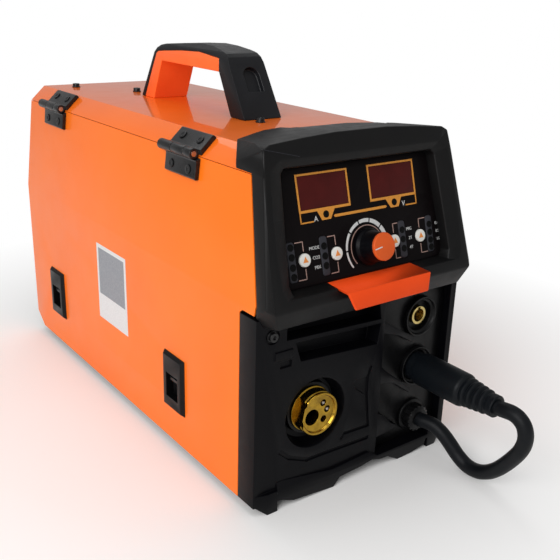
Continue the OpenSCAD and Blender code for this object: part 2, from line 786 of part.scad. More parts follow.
module case_screws() {
    color("#1b1b1e") placed() {
        for (p = [[-57, body_d - 29], [57, body_d - 29], [-12, 385], [-12, 142]])
            translate([p[0], p[1], roof_z]) pan_head();
        translate([-half + 16, 2, 161.4]) rotate([90, 0, 0]) pan_head();
    }
}

// ---- hinges ----

// Frame on the left bevel: x up the bevel from the seam, y along it, z out of it
module on_bevel() {
    translate([-seam_half, 0, seam_z]) rotate([0, -bevel_angle, 0]) children();
}

// Section of a bevel leaf in x and z, from the sheet to the barrel
module upper_leaf_section() {
    d = [cos(bevel_angle), sin(bevel_angle)];
    n = [-sin(bevel_angle), cos(bevel_angle)];
    s = [-seam_half, seam_z];
    polygon([s + 1.5 * d + 0.05 * n, s + 21 * d + 0.05 * n, s + 21 * d + (leaf_t - 1.2) * n,
        s + 19.8 * d + leaf_t * n,
        s + 4 * d + leaf_t * n, [-axis_x, axis_z] + barrel_r * 0.8 * n, [-axis_x, axis_z]]);
}

// Section of a side leaf in x and z
module lower_leaf_section() {
    d = [-sin(lean_angle), -cos(lean_angle)];
    n = [-cos(lean_angle), sin(lean_angle)];
    s = [-seam_half, seam_z];
    polygon([s + 1.8 * d + 0.05 * n, s + 19.5 * d + 0.05 * n, s + 19.5 * d + (leaf_t - 1.2) * n,
        s + 18.3 * d + leaf_t * n,
        s + 4 * d + leaf_t * n, [-axis_x, axis_z] + barrel_r * 0.9 * n, [-axis_x, axis_z]]);
}

module fixed_hinge_leaves() {
    color("#232326") placed() for (y = leaf_ys) difference() {
        union() {
            along_y(y, y + leaf_len) upper_leaf_section();
            bar_y(-axis_x, axis_z, y + 3, y + leaf_len + 7, barrel_r);
            bar_y(-axis_x, axis_z, y + leaf_len + 7, y + leaf_len + 8, barrel_r - 1);
        }
        bar_y(-axis_x, axis_z, y - 1, y + leaf_len - 1, pin_r + run_fit);
        bar_y(-axis_x, axis_z, y - 1, y + 3, barrel_r + 0.3);
        bar_y(-axis_x, axis_z, y + barrel_len - door_gap, y + leaf_len - barrel_len + door_gap,
            barrel_r + 0.3);
    }
}

module door_hinge_leaves() {
    color("#232326") placed() for (y = leaf_ys) difference() {
        union() {
            along_y(y, y + leaf_len) lower_leaf_section();
            bar_y(-axis_x, axis_z, y + barrel_len, y + leaf_len - barrel_len, barrel_r);
        }
        bar_y(-axis_x, axis_z, y - 1, y + leaf_len + 1, pin_r + run_fit);
        bar_y(-axis_x, axis_z, y - 1, y + barrel_len, barrel_r + 0.3);
        bar_y(-axis_x, axis_z, y + leaf_len - barrel_len, y + leaf_len + 10, barrel_r + 0.3);
    }
}

module hinge_pins() {
    color("silver") placed() for (y = leaf_ys) bar_y(-axis_x, axis_z, y + 3, y + leaf_len - 1, pin_r);
}

module leaf_screw() {
    difference() {
        cylinder(r1 = 3.9, r2 = 3.9, h = 0.9, $fn = 32);
        translate([0, 0, 0.5]) cylinder(r = 1.4, h = 2, $fn = 24);
    }
}

module fixed_leaf_screws() {
    color("#1b1b1e") placed() on_bevel() for (y = leaf_ys, o = [11, leaf_len - 11])
        translate([12.5, y + o, leaf_t]) leaf_screw();
}

module door_leaf_screws() {
    n = [-cos(lean_angle), sin(lean_angle)];
    d = [-sin(lean_angle), -cos(lean_angle)];
    color("#1b1b1e") placed() for (y = leaf_ys, o = [11, leaf_len - 11])
        translate([-seam_half + 12 * d[0] + leaf_t * n[0], y + o, seam_z + 12 * d[1] + leaf_t * n[1]])
            rotate([0, -90 + lean_angle, 0]) leaf_screw();
}

// ---- door and latches ----

module door_panel() {
    color("darkorange") placed() difference() {
        mirror([1, 0, 0]) side_sheet(door_gap);
        for (y = latch_ys) box([-half - 1, y - 13, latch_z - 21], [-half + 5, y + 13, latch_z + 21]);
    }
}

module latch_frames() {
    color("#1d1d20") placed() for (y = latch_ys) difference() {
        union() {
            hull() {
                box([-half - 0.4, y - latch_w / 2, latch_z - latch_h / 2],
                    [-half, y + latch_w / 2, latch_z + latch_h / 2]);
                box([-half - latch_proud, y - latch_w / 2 + 2.5, latch_z - latch_h / 2 + 2.5],
                    [-half, y + latch_w / 2 - 2.5, latch_z + latch_h / 2 - 2.5]);
            }
            box([-half, y - 12.7, latch_z - 20.7], [-half + 9.6, y + 12.7, latch_z + 20.7]);
        }
        box([-half - 10, y - 10.5, window_z], [-half + 4.5, y + 10.5, window_z + finger_h]);
        box([-half + 4, y - 8 - slide_fit, latch_z - 30],
            [-half + 8 + slide_fit, y + 8 + slide_fit, latch_z + 17]);
    }
}

module latch_bolt(y) {
    color("#1b1b1e") placed() {
        box([-half + 4.8, y - 8, keeper_z + 1.5], [-half + 8, y + 8, latch_z + 13]);
        box([-half - 1, y - 7.5, tab_z], [-half + 4.9, y + 7.5, tab_z + 3]);
    }
}

// ---- front connectors ----

module torch_connector() {
    color("gold") placed() difference() {
        turned_y(torch_x, torch_front, torch_z) polygon([[0, 2], [torch_r - 3, 2],
            [torch_r - 2, 0], [torch_r - 0.6, 0], [torch_r, 0.8], [torch_r, 2],
            [torch_r - 0.8, 2.5], [torch_r - 0.8, 3.3], [torch_r, 3.8], [torch_r, 11.5],
            [torch_r + collar_out, 12], [torch_r + collar_out, 13.6], [torch_r, 13.6],
            [torch_r, 24], [torch_r - 4, 24],
            [torch_r - 4, torch_rear - torch_front], [0, torch_rear - torch_front]]);
        bar_y(wire_x, wire_z, torch_front - 1, torch_rear + 1, torch_bore_r);
        for (hole = [[5, 8.5], [9.5, 1.5], [6, -7]])
            bar_y(torch_x + hole[0], torch_z + hole[1], torch_front - 1, 12, 3.1);
        translate([torch_x - 16, -20, torch_z - 1]) rotate([0, 10, 0])
            translate([-20, 0, -30]) cube([20, 25.5, 60]);
    }
}

module torch_insulator() {
    color("#1d1d20") placed() difference() {
        union() {
            bar_y(torch_x, torch_z, 18, 30, 27);
            bar_y(torch_x, torch_z, 7.6, 20, torch_r + 4);
        }
        bar_y(torch_x, torch_z, 0, 24 + torch_front, torch_r + slip_fit);
        bar_y(torch_x, torch_z, 10, 40, torch_r - 4);
    }
}

module socket_shells() {
    color("#17171a") placed() for (z = socket_zs) difference() {
        union() {
            bar_y(socket_x, z, 4.5, plate_y, socket_r);
            bar_y(socket_x, z, plate_y, 48, 15.2);
        }
        turned_y(socket_x, 4, z) polygon([[0, 0], [socket_r - 1.2, 0], [socket_r - 2.5, 2.5],
            [14.4, 3.5], [14.2, 9], [0, 9]]);
        bar_y(socket_x, z, 0, 60, contact_r + 2.3);
    }
}

module socket_contacts() {
    color("gold") placed() for (z = socket_zs) difference() {
        bar_y(socket_x, z, 8.4, 52, contact_r + 2.3);
        bar_y(socket_x, z, 0, 40, contact_r);
        box([socket_x - 1.5, 0, z + contact_r - 1], [socket_x + 1.5, 12, z + contact_r + 1.4]);
    }
}

module cable_gland() {
    color("#17171a") placed() difference() {
        union() {
            turned_y(socket_x, -4.5, gland_z) polygon([[0, 0], [gland_r - 3.4, 0], [gland_r - 1, 2],
                [gland_r - 1, 10.5], [gland_r + 3, 11], [gland_r + 3, plate_y + 4.5],
                    [10.2, plate_y + 4.5],
                [10.2, 26], [0, 26]]);
            for (k = [0 : 15]) translate([socket_x, -2.5, gland_z]) rotate([0, k * 22.5, 0])
                translate([gland_r - 1.4, 0, -1.4]) cube([1.4, 8.4, 2.8]);
        }
        bar_y(socket_x, gland_z, -4, 40, cable_d / 2 + 0.3);
    }
}

module polarity_plug() {
    color("#202226") placed() turned_y(socket_x, -89, socket_zs[1]) polygon([[0, 0], [9.4, 0],
        [10, 0.8], [10, 6], [9.2, 7.5], [9.2, 9.5],
            [11.2, 10.5], [11.2, 13], [9.9, 14], [9.9, 15.8], [11.9, 16.8], [11.9, 19.3], [10.6, 20.3],
                [10.6, 22.1],
            [12.7, 23.1], [12.7, 25.6], [11.4, 26.6], [11.4, 28.4], [13.4, 29.4], [13.4, 31.9],
                [12.6, 32.8],
            [plug_r - 1.2, 34], [plug_r - 0.2, 36], [plug_r, 86], [plug_r - 1.3, 87.5], [13.6, 88],
            [13.6, 97.2], [contact_r - run_fit, 97.2], [contact_r - run_fit, 122],
                [contact_r - 1.5, 123.5],
            [0, 123.5]]);
}

module polarity_cable() {
    color("#17181b") placed() tube(cable_route, cable_d, cable_sides);
}

// ---- wire feeder and spool ----

module spool_spindle() {
    color("#2a2a2e") placed() difference() {
        union() {
            bar_x(spool_y, spool_z, spool_x - spool_w - 1, divider_x, spindle_r);
            bar_x(spool_y, spool_z, spool_x + 0.5, divider_x, spindle_r + 12);
            bar_x(spool_y, spool_z, spool_x - spool_w - 6, spool_x - spool_w, 8);
        }
        bar_x(spool_y, spool_z, spool_x - spool_w - 10, divider_x - 20, 4);
    }
}

module spool_nut() {
    color("#1d1d20") placed() difference() {
        union() {
            bar_x(spool_y, spool_z, spool_x - spool_w - 6, spool_x - spool_w - 1, spindle_r + 5);
            for (a = [0 : 45 : 315]) translate([spool_x - spool_w - 6, spool_y, spool_z])
                rotate([a, 0, 0])
                translate([0, spindle_r + 3, -3]) cube([5, 4, 6]);
        }
        bar_x(spool_y, spool_z, spool_x - spool_w - 10, spool_x, 8);
    }
}

module spool_reel() {
    inner = spindle_r + run_fit;
    color("#35353a") placed() translate([spool_x - spool_w, spool_y, spool_z]) rotate([0, 90, 0])
        rotate_extrude($fn = 96)
        polygon([[inner, 0], [spool_r, 0], [spool_r, flange_t], [core_r, flange_t],
            [core_r, spool_w - flange_t],
            [spool_r, spool_w - flange_t], [spool_r, spool_w], [inner, spool_w]]);
}

module spool_winding() {
    color("#b87333") placed() translate([spool_x - spool_w + flange_t, spool_y, spool_z])
        rotate([0, 90, 0]) rotate_extrude($fn = 96)
        polygon([[core_r, 0], [wind_r - 1, 0], [wind_r, 1], [wind_r, spool_w - 2 * flange_t - 1],
            [wind_r - 1, spool_w - 2 * flange_t], [core_r, spool_w - 2 * flange_t]]);
}

module feeder_frame() {
    guide_r = 4;
    color("#3a3a40") placed() difference() {
        union() {
            box([web_x, 62, shelf_z], [web_x + web_t, 184, idler_z + 12]);
            box([web_x, 62, shelf_z], [divider_x, 184, shelf_z + shelf_t]);
            box([wire_x - 8, 62, shelf_z], [web_x, 98, 56]);
            bar_x(pivot_y, idler_z, web_x - arm_t - 8, web_x + 1, pivot_r);
            box([wire_x - 5, torch_rear, wire_z - 5], [web_x, 76, wire_z + 5]);
            box([wire_x - 5, 144, wire_z - 5], [web_x, 178, wire_z + 1]);
            bar_z(wire_x, stud_y, 50, idler_z + 40, 3);
            box([web_x, torch_rear, wire_z - 5], [web_x + web_t, 63, wire_z + 5]);
        }
        bar_x(feed_y, roll_z, web_x - 1, web_x + web_t + 1, 8);
        bar_y(wire_x, wire_z, torch_rear, 190, 1.5);
    }
}

module feed_motor() {
    color("#55555a") placed() difference() {
        union() {
            bar_x(feed_y, roll_z, web_x + web_t, web_x + web_t + 30, motor_r);
            bar_x(feed_y, roll_z, web_x + web_t + 30, divider_x + 56, motor_r - 2);
        }
        bar_x(feed_y, roll_z, web_x, web_x + web_t + 20, 5 + run_fit);
    }
}

module drive_roll() {
    color("silver") placed() {
        translate([roll_x, feed_y, roll_z]) rotate([0, 90, 0]) rotate_extrude($fn = 64)
            polygon([[0, 0], [roll_r - 1, 0], [roll_r, 1], [roll_r, roll_w - 1], [roll_r - 1, roll_w],
                [0, roll_w]]);
        bar_x(feed_y, roll_z, roll_x - 4, web_x + web_t + 18, 5);
    }
}

module pressure_arm() {
    x0 = web_x - 0.5 - arm_t;
    color("#2d2d31") placed() difference() {
        union() {
            along_x(x0, web_x - 0.5) polygon([[pivot_y - 6, idler_z - 8], [pivot_y + 8, idler_z - 6],
                [pivot_y + 8, idler_z + 8],
                [feed_y, idler_z + 12], [stud_y - 9, idler_z + 14], [stud_y - 9, idler_z + 7],
                    [feed_y - 14, idler_z - 2],
                [feed_y, idler_z - 6]]);
            box([wire_x - 6, stud_y - 9, idler_z + 7], [web_x - 0.5, stud_y + 9, idler_z + 14]);
            bar_x(feed_y, idler_z, wire_x - roll_w / 2 - 3, x0 + 1, 3);
        }
        bar_x(pivot_y, idler_z, web_x - arm_t - 20, web_x + 5, pivot_r + run_fit);
        bar_z(wire_x, stud_y, idler_z, idler_z + 30, 4.6);
    }
}

module idler_roll() {
    color("silver") placed() difference() {
        bar_x(feed_y, idler_z, wire_x - roll_w / 2 + 1, wire_x + roll_w / 2 - 2, idler_r);
        bar_x(feed_y, idler_z, wire_x - 20, wire_x + 20, 3 + run_fit);
    }
}

module tension_knob() {
    color("#1d1d20") placed() difference() {
        union() {
            bar_z(wire_x, stud_y, idler_z + 24, idler_z + 44, 10);
            bar_z(wire_x, stud_y, idler_z + 19, idler_z + 24, 5.5);
            for (a = [0 : 30 : 330]) translate([wire_x, stud_y, idler_z + 26]) rotate([0, 0, a])
                translate([9, -1.5, 0]) cube([2, 3, 16]);
        }
        bar_z(wire_x, stud_y, 40, idler_z + 40 + 0.4, 3 + run_fit);
    }
}

// ---- rear and electronics ----

module fan_frame() {
    color("#1d1d20") placed() difference() {
        union() {
            difference() {
                box([fan_x - fan_side / 2, fan_y, fan_z - fan_side / 2],
                    [fan_x + fan_side / 2, fan_y + fan_t, fan_z + fan_side / 2]);
                bar_y(fan_x, fan_z, fan_y - 1, fan_y + fan_t + 1, fan_bore_r);
            }
            for (a = [45 : 90 : 315]) translate([fan_x, 0, fan_z]) rotate([0, a, 0])
                translate([0, fan_y + fan_t - 3, -2]) cube([fan_bore_r + 2, 3, 4]);
            bar_y(fan_x, fan_z, fan_y + fan_t - 3, fan_y + fan_t, 16);
            bar_y(fan_x, fan_z, fan_y + 3, fan_y + fan_t - 2, 3);
        }
    }
}

module fan_rotor() {
    color("#2d2d31") placed() difference() {
        union() {
            bar_y(fan_x, fan_z, fan_y + 2, fan_y + fan_t - 4, 17);
            for (a = [0 : 360 / 7 : 359]) translate([fan_x, fan_y + 10.5, fan_z]) rotate([0, a, 0])
                rotate([38, 0, 0])
                translate([15, -1, -9]) cube([fan_bore_r - 17, 2, 18]);
        }
        bar_y(fan_x, fan_z, fan_y - 1, fan_y + fan_t + 1, 3 + run_fit);
    }
}

module gas_valve() {
    color("#6a6a70") placed() {
        box([inlet_x - 12, panel_rear - sheet - 34, inlet_z - 12],
            [inlet_x + 12, panel_rear - sheet, inlet_z + 12]);
        bar_z(inlet_x, panel_rear - sheet - 16, inlet_z + 12, inlet_z + 40, 11);
    }
}

module gas_inlet() {
    color("gold") placed() difference() {
        union() {
            translate([inlet_x, panel_rear, inlet_z]) rotate([-90, 0, 0]) cylinder(r = 9, h = 4, $fn = 6);
            bar_y(inlet_x, inlet_z, panel_rear - sheet, panel_rear, 7);
            bar_y(inlet_x, inlet_z, panel_rear + 4, panel_rear + 3 + barb_len, barb_r);
        }
        bar_y(inlet_x, inlet_z, panel_rear - 0.5, panel_rear + 40, 2);
    }
}

module mains_gland() {
    color("#1d1d20") placed() difference() {
        union() {
            translate([mains_x, panel_rear, mains_z]) rotate([-90, 0, 0])
                cylinder(r = 16, h = 6, $fn = 6);
            turned_y(mains_x, panel_rear + 6, mains_z) polygon([[0, 0], [13, 0], [13, 6], [10, 10],
                [0, 10]]);
            bar_y(mains_x, mains_z, panel_rear - 14, panel_rear, 11);
        }
        bar_y(mains_x, mains_z, panel_rear - 20, panel_rear + 20, mains_r);
    }
}

module switch_housing() {
    x = switch_x;
    z = switch_z;
    color("#17171a") placed() difference() {
        union() {
            box([x - switch_w / 2, panel_rear, z - switch_h / 2],
                [x + switch_w / 2, panel_rear + 2, z + switch_h / 2]);
            box([x - switch_w / 2 + 2.2, panel_rear - 20, z - switch_h / 2 + 2.2],
                [x + switch_w / 2 - 2.2, panel_rear + 1, z + switch_h / 2 - 2.2]);
        }
        box([x - rocker_w / 2 - 0.4, panel_rear - 12, z - rocker_h / 2 - 1.2],
            [x + rocker_w / 2 + 0.4, panel_rear + 5, z + rocker_h / 2 + 1.2]);
    }
}

module switch_rocker() {
    color("#2d2d31") placed() translate([switch_x, panel_rear - 4, switch_z]) rotate([rocker_tilt, 0, 0])
        difference() {
            translate([-rocker_w / 2, -3, -rocker_h / 2 + 0.6]) cube([rocker_w, 9, rocker_h - 1.2]);
            translate([-rocker_w, 32, 0]) rotate([0, 90, 0]) cylinder(r = 27, h = 2 * rocker_w, $fn = 96);
        }
}

module power_board() {
    x0 = divider_x + sheet + 6;
    x1 = half - 12;
    y1 = body_d - 60;
    color("darkgreen") placed() {
        box([x0, 50, 30], [x1, y1, 31.6]);
        for (x = [x0 + 6, x1 - 6], y = [56, y1 - 6]) bar_z(x, y, tray_z, 30, 4);
        for (x = [x0 + 18, x0 + 56], y = [283, y1 - 24]) bar_z(x, y, 31.6, 82, 16);
    }
}

module heatsink() {
    x0 = divider_x + sheet + 12;
    color("silver") placed() {
        box([x0, 150, 31.6], [x0 + 42, 260, 40]);
        for (k = [0 : 8]) box([x0 + k * 5, 150, 40], [x0 + k * 5 + 2, 260, 100]);
    }
}

module transformer() {
    x0 = divider_x + sheet + 58;
    color("#8a6a30") placed() {
        box([x0, 160, 31.6], [x0 + 30, 230, 44]);
        box([x0, 160, 76], [x0 + 30, 230, 88]);
        bar_z(x0 + 15, 195, 44, 76, 14);
        box([x0, 160, 44], [x0 + 30, 172, 76]);
        box([x0, 218, 44], [x0 + 30, 230, 76]);
    }
}

module output_choke() {
    color("#b87333") placed() translate([divider_x + sheet + 50, 340, 31.6]) rotate_extrude($fn = 64)
        polygon([[14, 0], [32, 0], [34, 3], [34, 27], [32, 30], [14, 30], [12, 27], [12, 3]]);
}

module rear_feet() {
    color("#1b1b1e") placed() for (x = [-85, 85]) translate([x, body_d - 44, 0])
        rotate_extrude($fn = 48) polygon([[0, 0], [9, 0], [11, belly_z], [0, belly_z]]);
}

base_tray();
right_side_panel();
top_cover();
rear_panel();
centre_divider();
lower_bezel();
control_hood();
socket_plate();
control_panel();
display_windows();
indicator_strips();
control_board();
front_lip();
handle_shell();
handle_liner();
case_screws();
fixed_hinge_leaves();
hinge_pins();
fixed_leaf_screws();
torch_connector();
torch_insulator();
socket_shells();
socket_contacts();
cable_gland();
polarity_plug();
polarity_cable();
spool_spindle();
spool_nut();
feeder_frame();
feed_motor();
fan_frame();
gas_valve();
gas_inlet();
mains_gland();
switch_housing();
power_board();
heatsink();
transformer();
output_choke();
rear_feet();
door_panel();
door_hinge_leaves();
door_leaf_screws();
latch_frames();
latch_bolt(latch_ys[0]);  // front_latch_bolt
latch_bolt(latch_ys[1]);  // rear_latch_bolt
spool_reel();
spool_winding();
drive_roll();
pressure_arm();
idler_roll();
tension_knob();
fan_rotor();
switch_rocker();
knob_skirt();
knob_cap();
push_button(button_xs[0]);  // button_1
push_button(button_xs[1]);  // button_2
push_button(button_xs[2]);  // button_3
push_button(button_xs[3]);  // button_4
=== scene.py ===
import bpy
import bmesh
import json
import math
from mathutils import Matrix, Vector


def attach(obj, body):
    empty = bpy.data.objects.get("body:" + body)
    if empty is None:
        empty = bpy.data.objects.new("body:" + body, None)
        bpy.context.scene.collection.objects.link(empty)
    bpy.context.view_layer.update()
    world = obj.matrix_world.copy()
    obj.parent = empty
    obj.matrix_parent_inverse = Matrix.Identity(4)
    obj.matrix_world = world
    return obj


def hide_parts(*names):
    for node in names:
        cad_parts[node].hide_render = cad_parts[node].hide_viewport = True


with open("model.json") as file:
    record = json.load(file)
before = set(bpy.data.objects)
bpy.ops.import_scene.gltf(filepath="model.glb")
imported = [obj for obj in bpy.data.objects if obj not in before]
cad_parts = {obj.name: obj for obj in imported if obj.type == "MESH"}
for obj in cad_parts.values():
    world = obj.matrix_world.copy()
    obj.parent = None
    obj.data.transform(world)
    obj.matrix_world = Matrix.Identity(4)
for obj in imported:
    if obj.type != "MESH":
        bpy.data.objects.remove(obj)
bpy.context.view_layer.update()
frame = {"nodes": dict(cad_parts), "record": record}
parts = frame["nodes"]
print("frame loaded:", len(parts), "nodes")

footMiddle = 234.5  # mm from the front moulding's face back to the middle of the footprint


def at(x, y, z):  # mm in the outlines' frame to metres in the row frame
    return Vector((x / 1000, (y - footMiddle) / 1000, z / 1000))


# camera
cameraSet = {"place": (-435.2, -452.9, 415.9), "yaw": 37.158, "down": 20.122, "roll": 1.679, "lens": 51.28}


def placeCamera(setting):
    yaw, down, roll = (math.radians(setting[key]) for key in ("yaw", "down", "roll"))
    ahead = Vector((math.sin(yaw) * math.cos(down), math.cos(yaw) * math.cos(down), -math.sin(down)))
    right = Vector((math.cos(yaw), -math.sin(yaw), 0))
    up = right.cross(ahead)
    across = right * math.cos(roll) + up * math.sin(roll)
    upward = up * math.cos(roll) - right * math.sin(roll)
    data = bpy.data.cameras.new("photoCamera")
    data.lens, data.sensor_width = setting["lens"], 36
    data.clip_start, data.clip_end = 0.02, 20
    camera = bpy.data.objects.new("photoCamera", data)
    bpy.context.scene.collection.objects.link(camera)
    turn = Matrix((across, upward, -ahead)).transposed().to_4x4()
    camera.matrix_world = Matrix.Translation(at(*setting["place"])) @ turn
    bpy.context.scene.camera = camera


placeCamera(cameraSet)


# materials
def linear(code):
    values = [int(code[i:i + 2], 16) / 255 for i in (1, 3, 5)]
    return tuple(v / 12.92 if v <= 0.04045 else ((v + 0.055) / 1.055) ** 2.4 for v in values) + (1,)


def addNode(tree, kind, sockets=None, **settings):
    made = tree.nodes.new(kind)
    for key, value in settings.items():
        setattr(made, key, value)
    for key, value in (sockets or {}).items():
        socket = made.inputs[key]
        if isinstance(value, bpy.types.NodeSocket):
            tree.links.new(value, socket)
        else:
            socket.default_value = value
    return made


def startMaterial(name, **shaderValues):
    material = bpy.data.materials.new(name)
    material.use_nodes = True
    tree = material.node_tree
    tree.nodes.clear()
    shader = addNode(tree, "ShaderNodeBsdfPrincipled", shaderValues)
    addNode(tree, "ShaderNodeOutputMaterial", {"Surface": shader.outputs[0]})
    place = addNode(tree, "ShaderNodeTexCoord").outputs["Object"]
    return material, tree, shader, place


def noiseField(tree, place, scale, detail=3, roughness=0.5):
    return addNode(tree, "ShaderNodeTexNoise",
                   {"Vector": place, "Scale": scale, "Detail": detail, "Roughness": roughness}).outputs["Fac"]


def ranged(tree, value, low, high, fromLow=0.3, fromHigh=0.7):
    return addNode(tree, "ShaderNodeMapRange", {"Value": value, "From Min": fromLow, "From Max": fromHigh,
                                                "To Min": low, "To Max": high}).outputs["Result"]


def twoColours(tree, factor, first, second):
    return addNode(tree, "ShaderNodeMix", {0: factor, 6: linear(first), 7: linear(second)},
                   data_type="RGBA").outputs[2]


def bumped(tree, shader, height, strength, distance):
    bump = addNode(tree, "ShaderNodeBump", {"Height": height, "Strength": strength, "Distance": distance})
    tree.links.new(bump.outputs[0], shader.inputs["Normal"])


# pattern scales are repeats per metre, so 420 is a pattern of 2.4 mm and 2200 one of 0.45 mm
# stove enamel on sheet steel: even colour, a thin clear gloss over it and a faint orange peel of 2.4 mm
def enamel(name, first, second, roughness=0.3, coat=0.25, shine=0.14, gloss=0.06):
    material, tree, shader, place = startMaterial(name, **{"Coat Weight": coat, "Coat Roughness": gloss,
                                                           "Specular IOR Level": shine})
    tone = noiseField(tree, place, 9, 2)
    tree.links.new(twoColours(tree, ranged(tree, tone, 0, 1), first, second), shader.inputs["Base Color"])
    smudge = noiseField(tree, place, 38, 5, 0.6)
    tree.links.new(ranged(tree, smudge, roughness, roughness + 0.09), shader.inputs["Roughness"])
    bumped(tree, shader, noiseField(tree, place, 420, 2), 0.08, 0.00004)
    return material


# injection-moulded ABS or rubber: a grain of 0.3 to 1.1 mm, drawn coarser than real so that it shows
def moulding(name, first, second, roughness=0.5, grain=2200, depth=0.00007, shine=0.16):
    material, tree, shader, place = startMaterial(name, **{"Specular IOR Level": shine})
    tone = noiseField(tree, place, 26, 4, 0.6)
    tree.links.new(twoColours(tree, ranged(tree, tone, 0, 1), first, second), shader.inputs["Base Color"])
    sheen = noiseField(tree, place, 90, 4, 0.6)
    tree.links.new(ranged(tree, sheen, roughness - 0.05, roughness + 0.07), shader.inputs["Roughness"])
    bumped(tree, shader, noiseField(tree, place, grain, 3, 0.6), 0.35, depth)
    return material


# brass turned on a lathe: rings round its own axis, 0.5 mm apart
def turnedMetal(name, colour, darker, axisPoint, roughness=0.2, pitch=0.0005):
    material, tree, shader, place = startMaterial(name, Metallic=1.0)
    moved = addNode(tree, "ShaderNodeMapping", {"Vector": place, "Location": -axisPoint}).outputs[0]
    parted = addNode(tree, "ShaderNodeSeparateXYZ", {0: moved})
    flat = addNode(tree, "ShaderNodeCombineXYZ", {0: parted.outputs[0], 1: parted.outputs[2]}).outputs[0]
    radius = addNode(tree, "ShaderNodeVectorMath", {0: flat}, operation="LENGTH").outputs["Value"]
    grooves = 2 * math.pi / pitch
    rings = addNode(tree, "ShaderNodeMath", {0: radius, 1: grooves}, operation="MULTIPLY").outputs[0]
    wave = addNode(tree, "ShaderNodeMath", {0: rings}, operation="SINE").outputs[0]
    tone = noiseField(tree, place, 120, 4, 0.6)
    tree.links.new(twoColours(tree, ranged(tree, tone, 0, 1), colour, darker), shader.inputs["Base Color"])
    tree.links.new(ranged(tree, tone, roughness - 0.04, roughness + 0.08), shader.inputs["Roughness"])
    bumped(tree, shader, wave, 0.12, 0.00003)
    return material


# rolled, drawn or cast metal: a cloudy roughness, stretched along the grain where it is brushed
def metal(name, colour, darker, roughness=0.3, grain=300, stretch=(1, 1, 1), metallic=1.0, depth=0.00003):
    material, tree, shader, place = startMaterial(name, Metallic=metallic)
    moved = addNode(tree, "ShaderNodeMapping", {"Vector": place, "Scale": stretch}).outputs[0]
    tone = noiseField(tree, moved, grain, 4, 0.6)
    tree.links.new(twoColours(tree, ranged(tree, tone, 0, 1), colour, darker), shader.inputs["Base Color"])
    tree.links.new(ranged(tree, tone, roughness - 0.05, roughness + 0.1), shader.inputs["Roughness"])
    bumped(tree, shader, tone, 0.2, depth)
    return material


# hot-dip galvanised sheet: flat zinc crystals about 9 mm across, each its own grey
def galvanised(name):
    material, tree, shader, place = startMaterial(name, Metallic=1.0)
    cells = addNode(tree, "ShaderNodeTexVoronoi", {"Vector": place, "Scale": 110})
    grey = addNode(tree, "ShaderNodeSeparateColor", {0: cells.outputs["Color"]}).outputs[0]
    tree.links.new(twoColours(tree, grey, "#a7abaf", "#8b8f94"), shader.inputs["Base Color"])
    tree.links.new(ranged(tree, grey, 0.3, 0.46, 0, 1), shader.inputs["Roughness"])
    return material


# screen-printed ink: flat colour with slightly thin patches of 1.4 mm
def printed(name, colour, worn, roughness=0.45):
    material, tree, shader, place = startMaterial(name)
    patch = noiseField(tree, place, 700, 3, 0.6)
    tree.links.new(twoColours(tree, ranged(tree, patch, 0, 1), colour, worn), shader.inputs["Base Color"])
    tree.links.new(ranged(tree, patch, roughness - 0.04, roughness + 0.06), shader.inputs["Roughness"])
    return material


# tinted acrylic filter over an unlit display: a dark, even red with a soft sheen
def displayFilter(name):
    material, tree, shader, place = startMaterial(name, **{"Specular IOR Level": 0.12})
    cloud = noiseField(tree, place, 60, 2)
    tint = twoColours(tree, ranged(tree, cloud, 0, 1), "#491412", "#3f110f")
    tree.links.new(tint, shader.inputs["Base Color"])
    tree.links.new(ranged(tree, cloud, 0.16, 0.24), shader.inputs["Roughness"])
    return material


# solder mask over copper: raised tracks in a lighter green, 6 mm apart
def circuitBoard(name):
    material, tree, shader, place = startMaterial(name)
    cells = addNode(tree, "ShaderNodeTexVoronoi", {"Vector": place, "Scale": 160}, distance="MANHATTAN")
    lines = ranged(tree, cells.outputs["Distance"], 1, 0, 0.08, 0.14)
    tree.links.new(twoColours(tree, lines, "#1d5a34", "#2f7a48"), shader.inputs["Base Color"])
    tree.links.new(ranged(tree, lines, 0.35, 0.45, 0, 1), shader.inputs["Roughness"])
    bumped(tree, shader, lines, 0.3, 0.0001)
    return material


# enamelled sheets: the roof is glossier, the tray and rear a dull dark grey
orangeEnamel = enamel("orangeEnamel", "#f8761a", "#f37015")
roofEnamel = enamel("roofEnamel", "#f27019", "#ec6a15", 0.3, 0.75, 0.1, 0.03)
greyEnamel = enamel("greyEnamel", "#1d1d20", "#19191c", 0.4, 0.1)
# black ABS mouldings, from the matt hood to the smoother lower front, handle and panel film
hoodPlastic = moulding("hoodPlastic", "#0f0e0e", "#0c0c0d", 0.4, shine=0.18)
bezelPlastic = moulding("bezelPlastic", "#07070a", "#050508", 0.34, shine=0.1)
handlePlastic = moulding("handlePlastic", "#141519", "#111215", 0.38, shine=0.26)
panelFilm = moulding("panelFilm", "#0e0a0b", "#0b0809", 0.42, 3200, 0.00003, 0.06)
darkPlastic = moulding("darkPlastic", "#080809", "#060607", 0.36, shine=0.2)
# coloured ABS: redder on the front lip, paler on the liner, browner on the knob's cap, white on the buttons
orangePlastic = moulding("orangePlastic", "#ea4d1b", "#e24717", 0.38, 2600, 0.00004, 0.1)
linerPlastic = moulding("linerPlastic", "#ff7032", "#f9692c", 0.38, 2600, 0.00004, 0.25)
capPlastic = moulding("capPlastic", "#d55a26", "#cc5421", 0.36, 3000, 0.00003, 0.15)
whitePlastic = moulding("whitePlastic", "#dddcd6", "#d2d1cb", 0.4, 3000, 0.00002, 0.3)
# smoked acrylic strips with near-black lamp rings in them
greyLens = moulding("greyLens", "#35353a", "#2e2e33", 0.4, 3000, 0.00002, 0.12)
ledRing = moulding("ledRing", "#060606", "#040404", 0.4, 3000, 0.00002, 0.1)
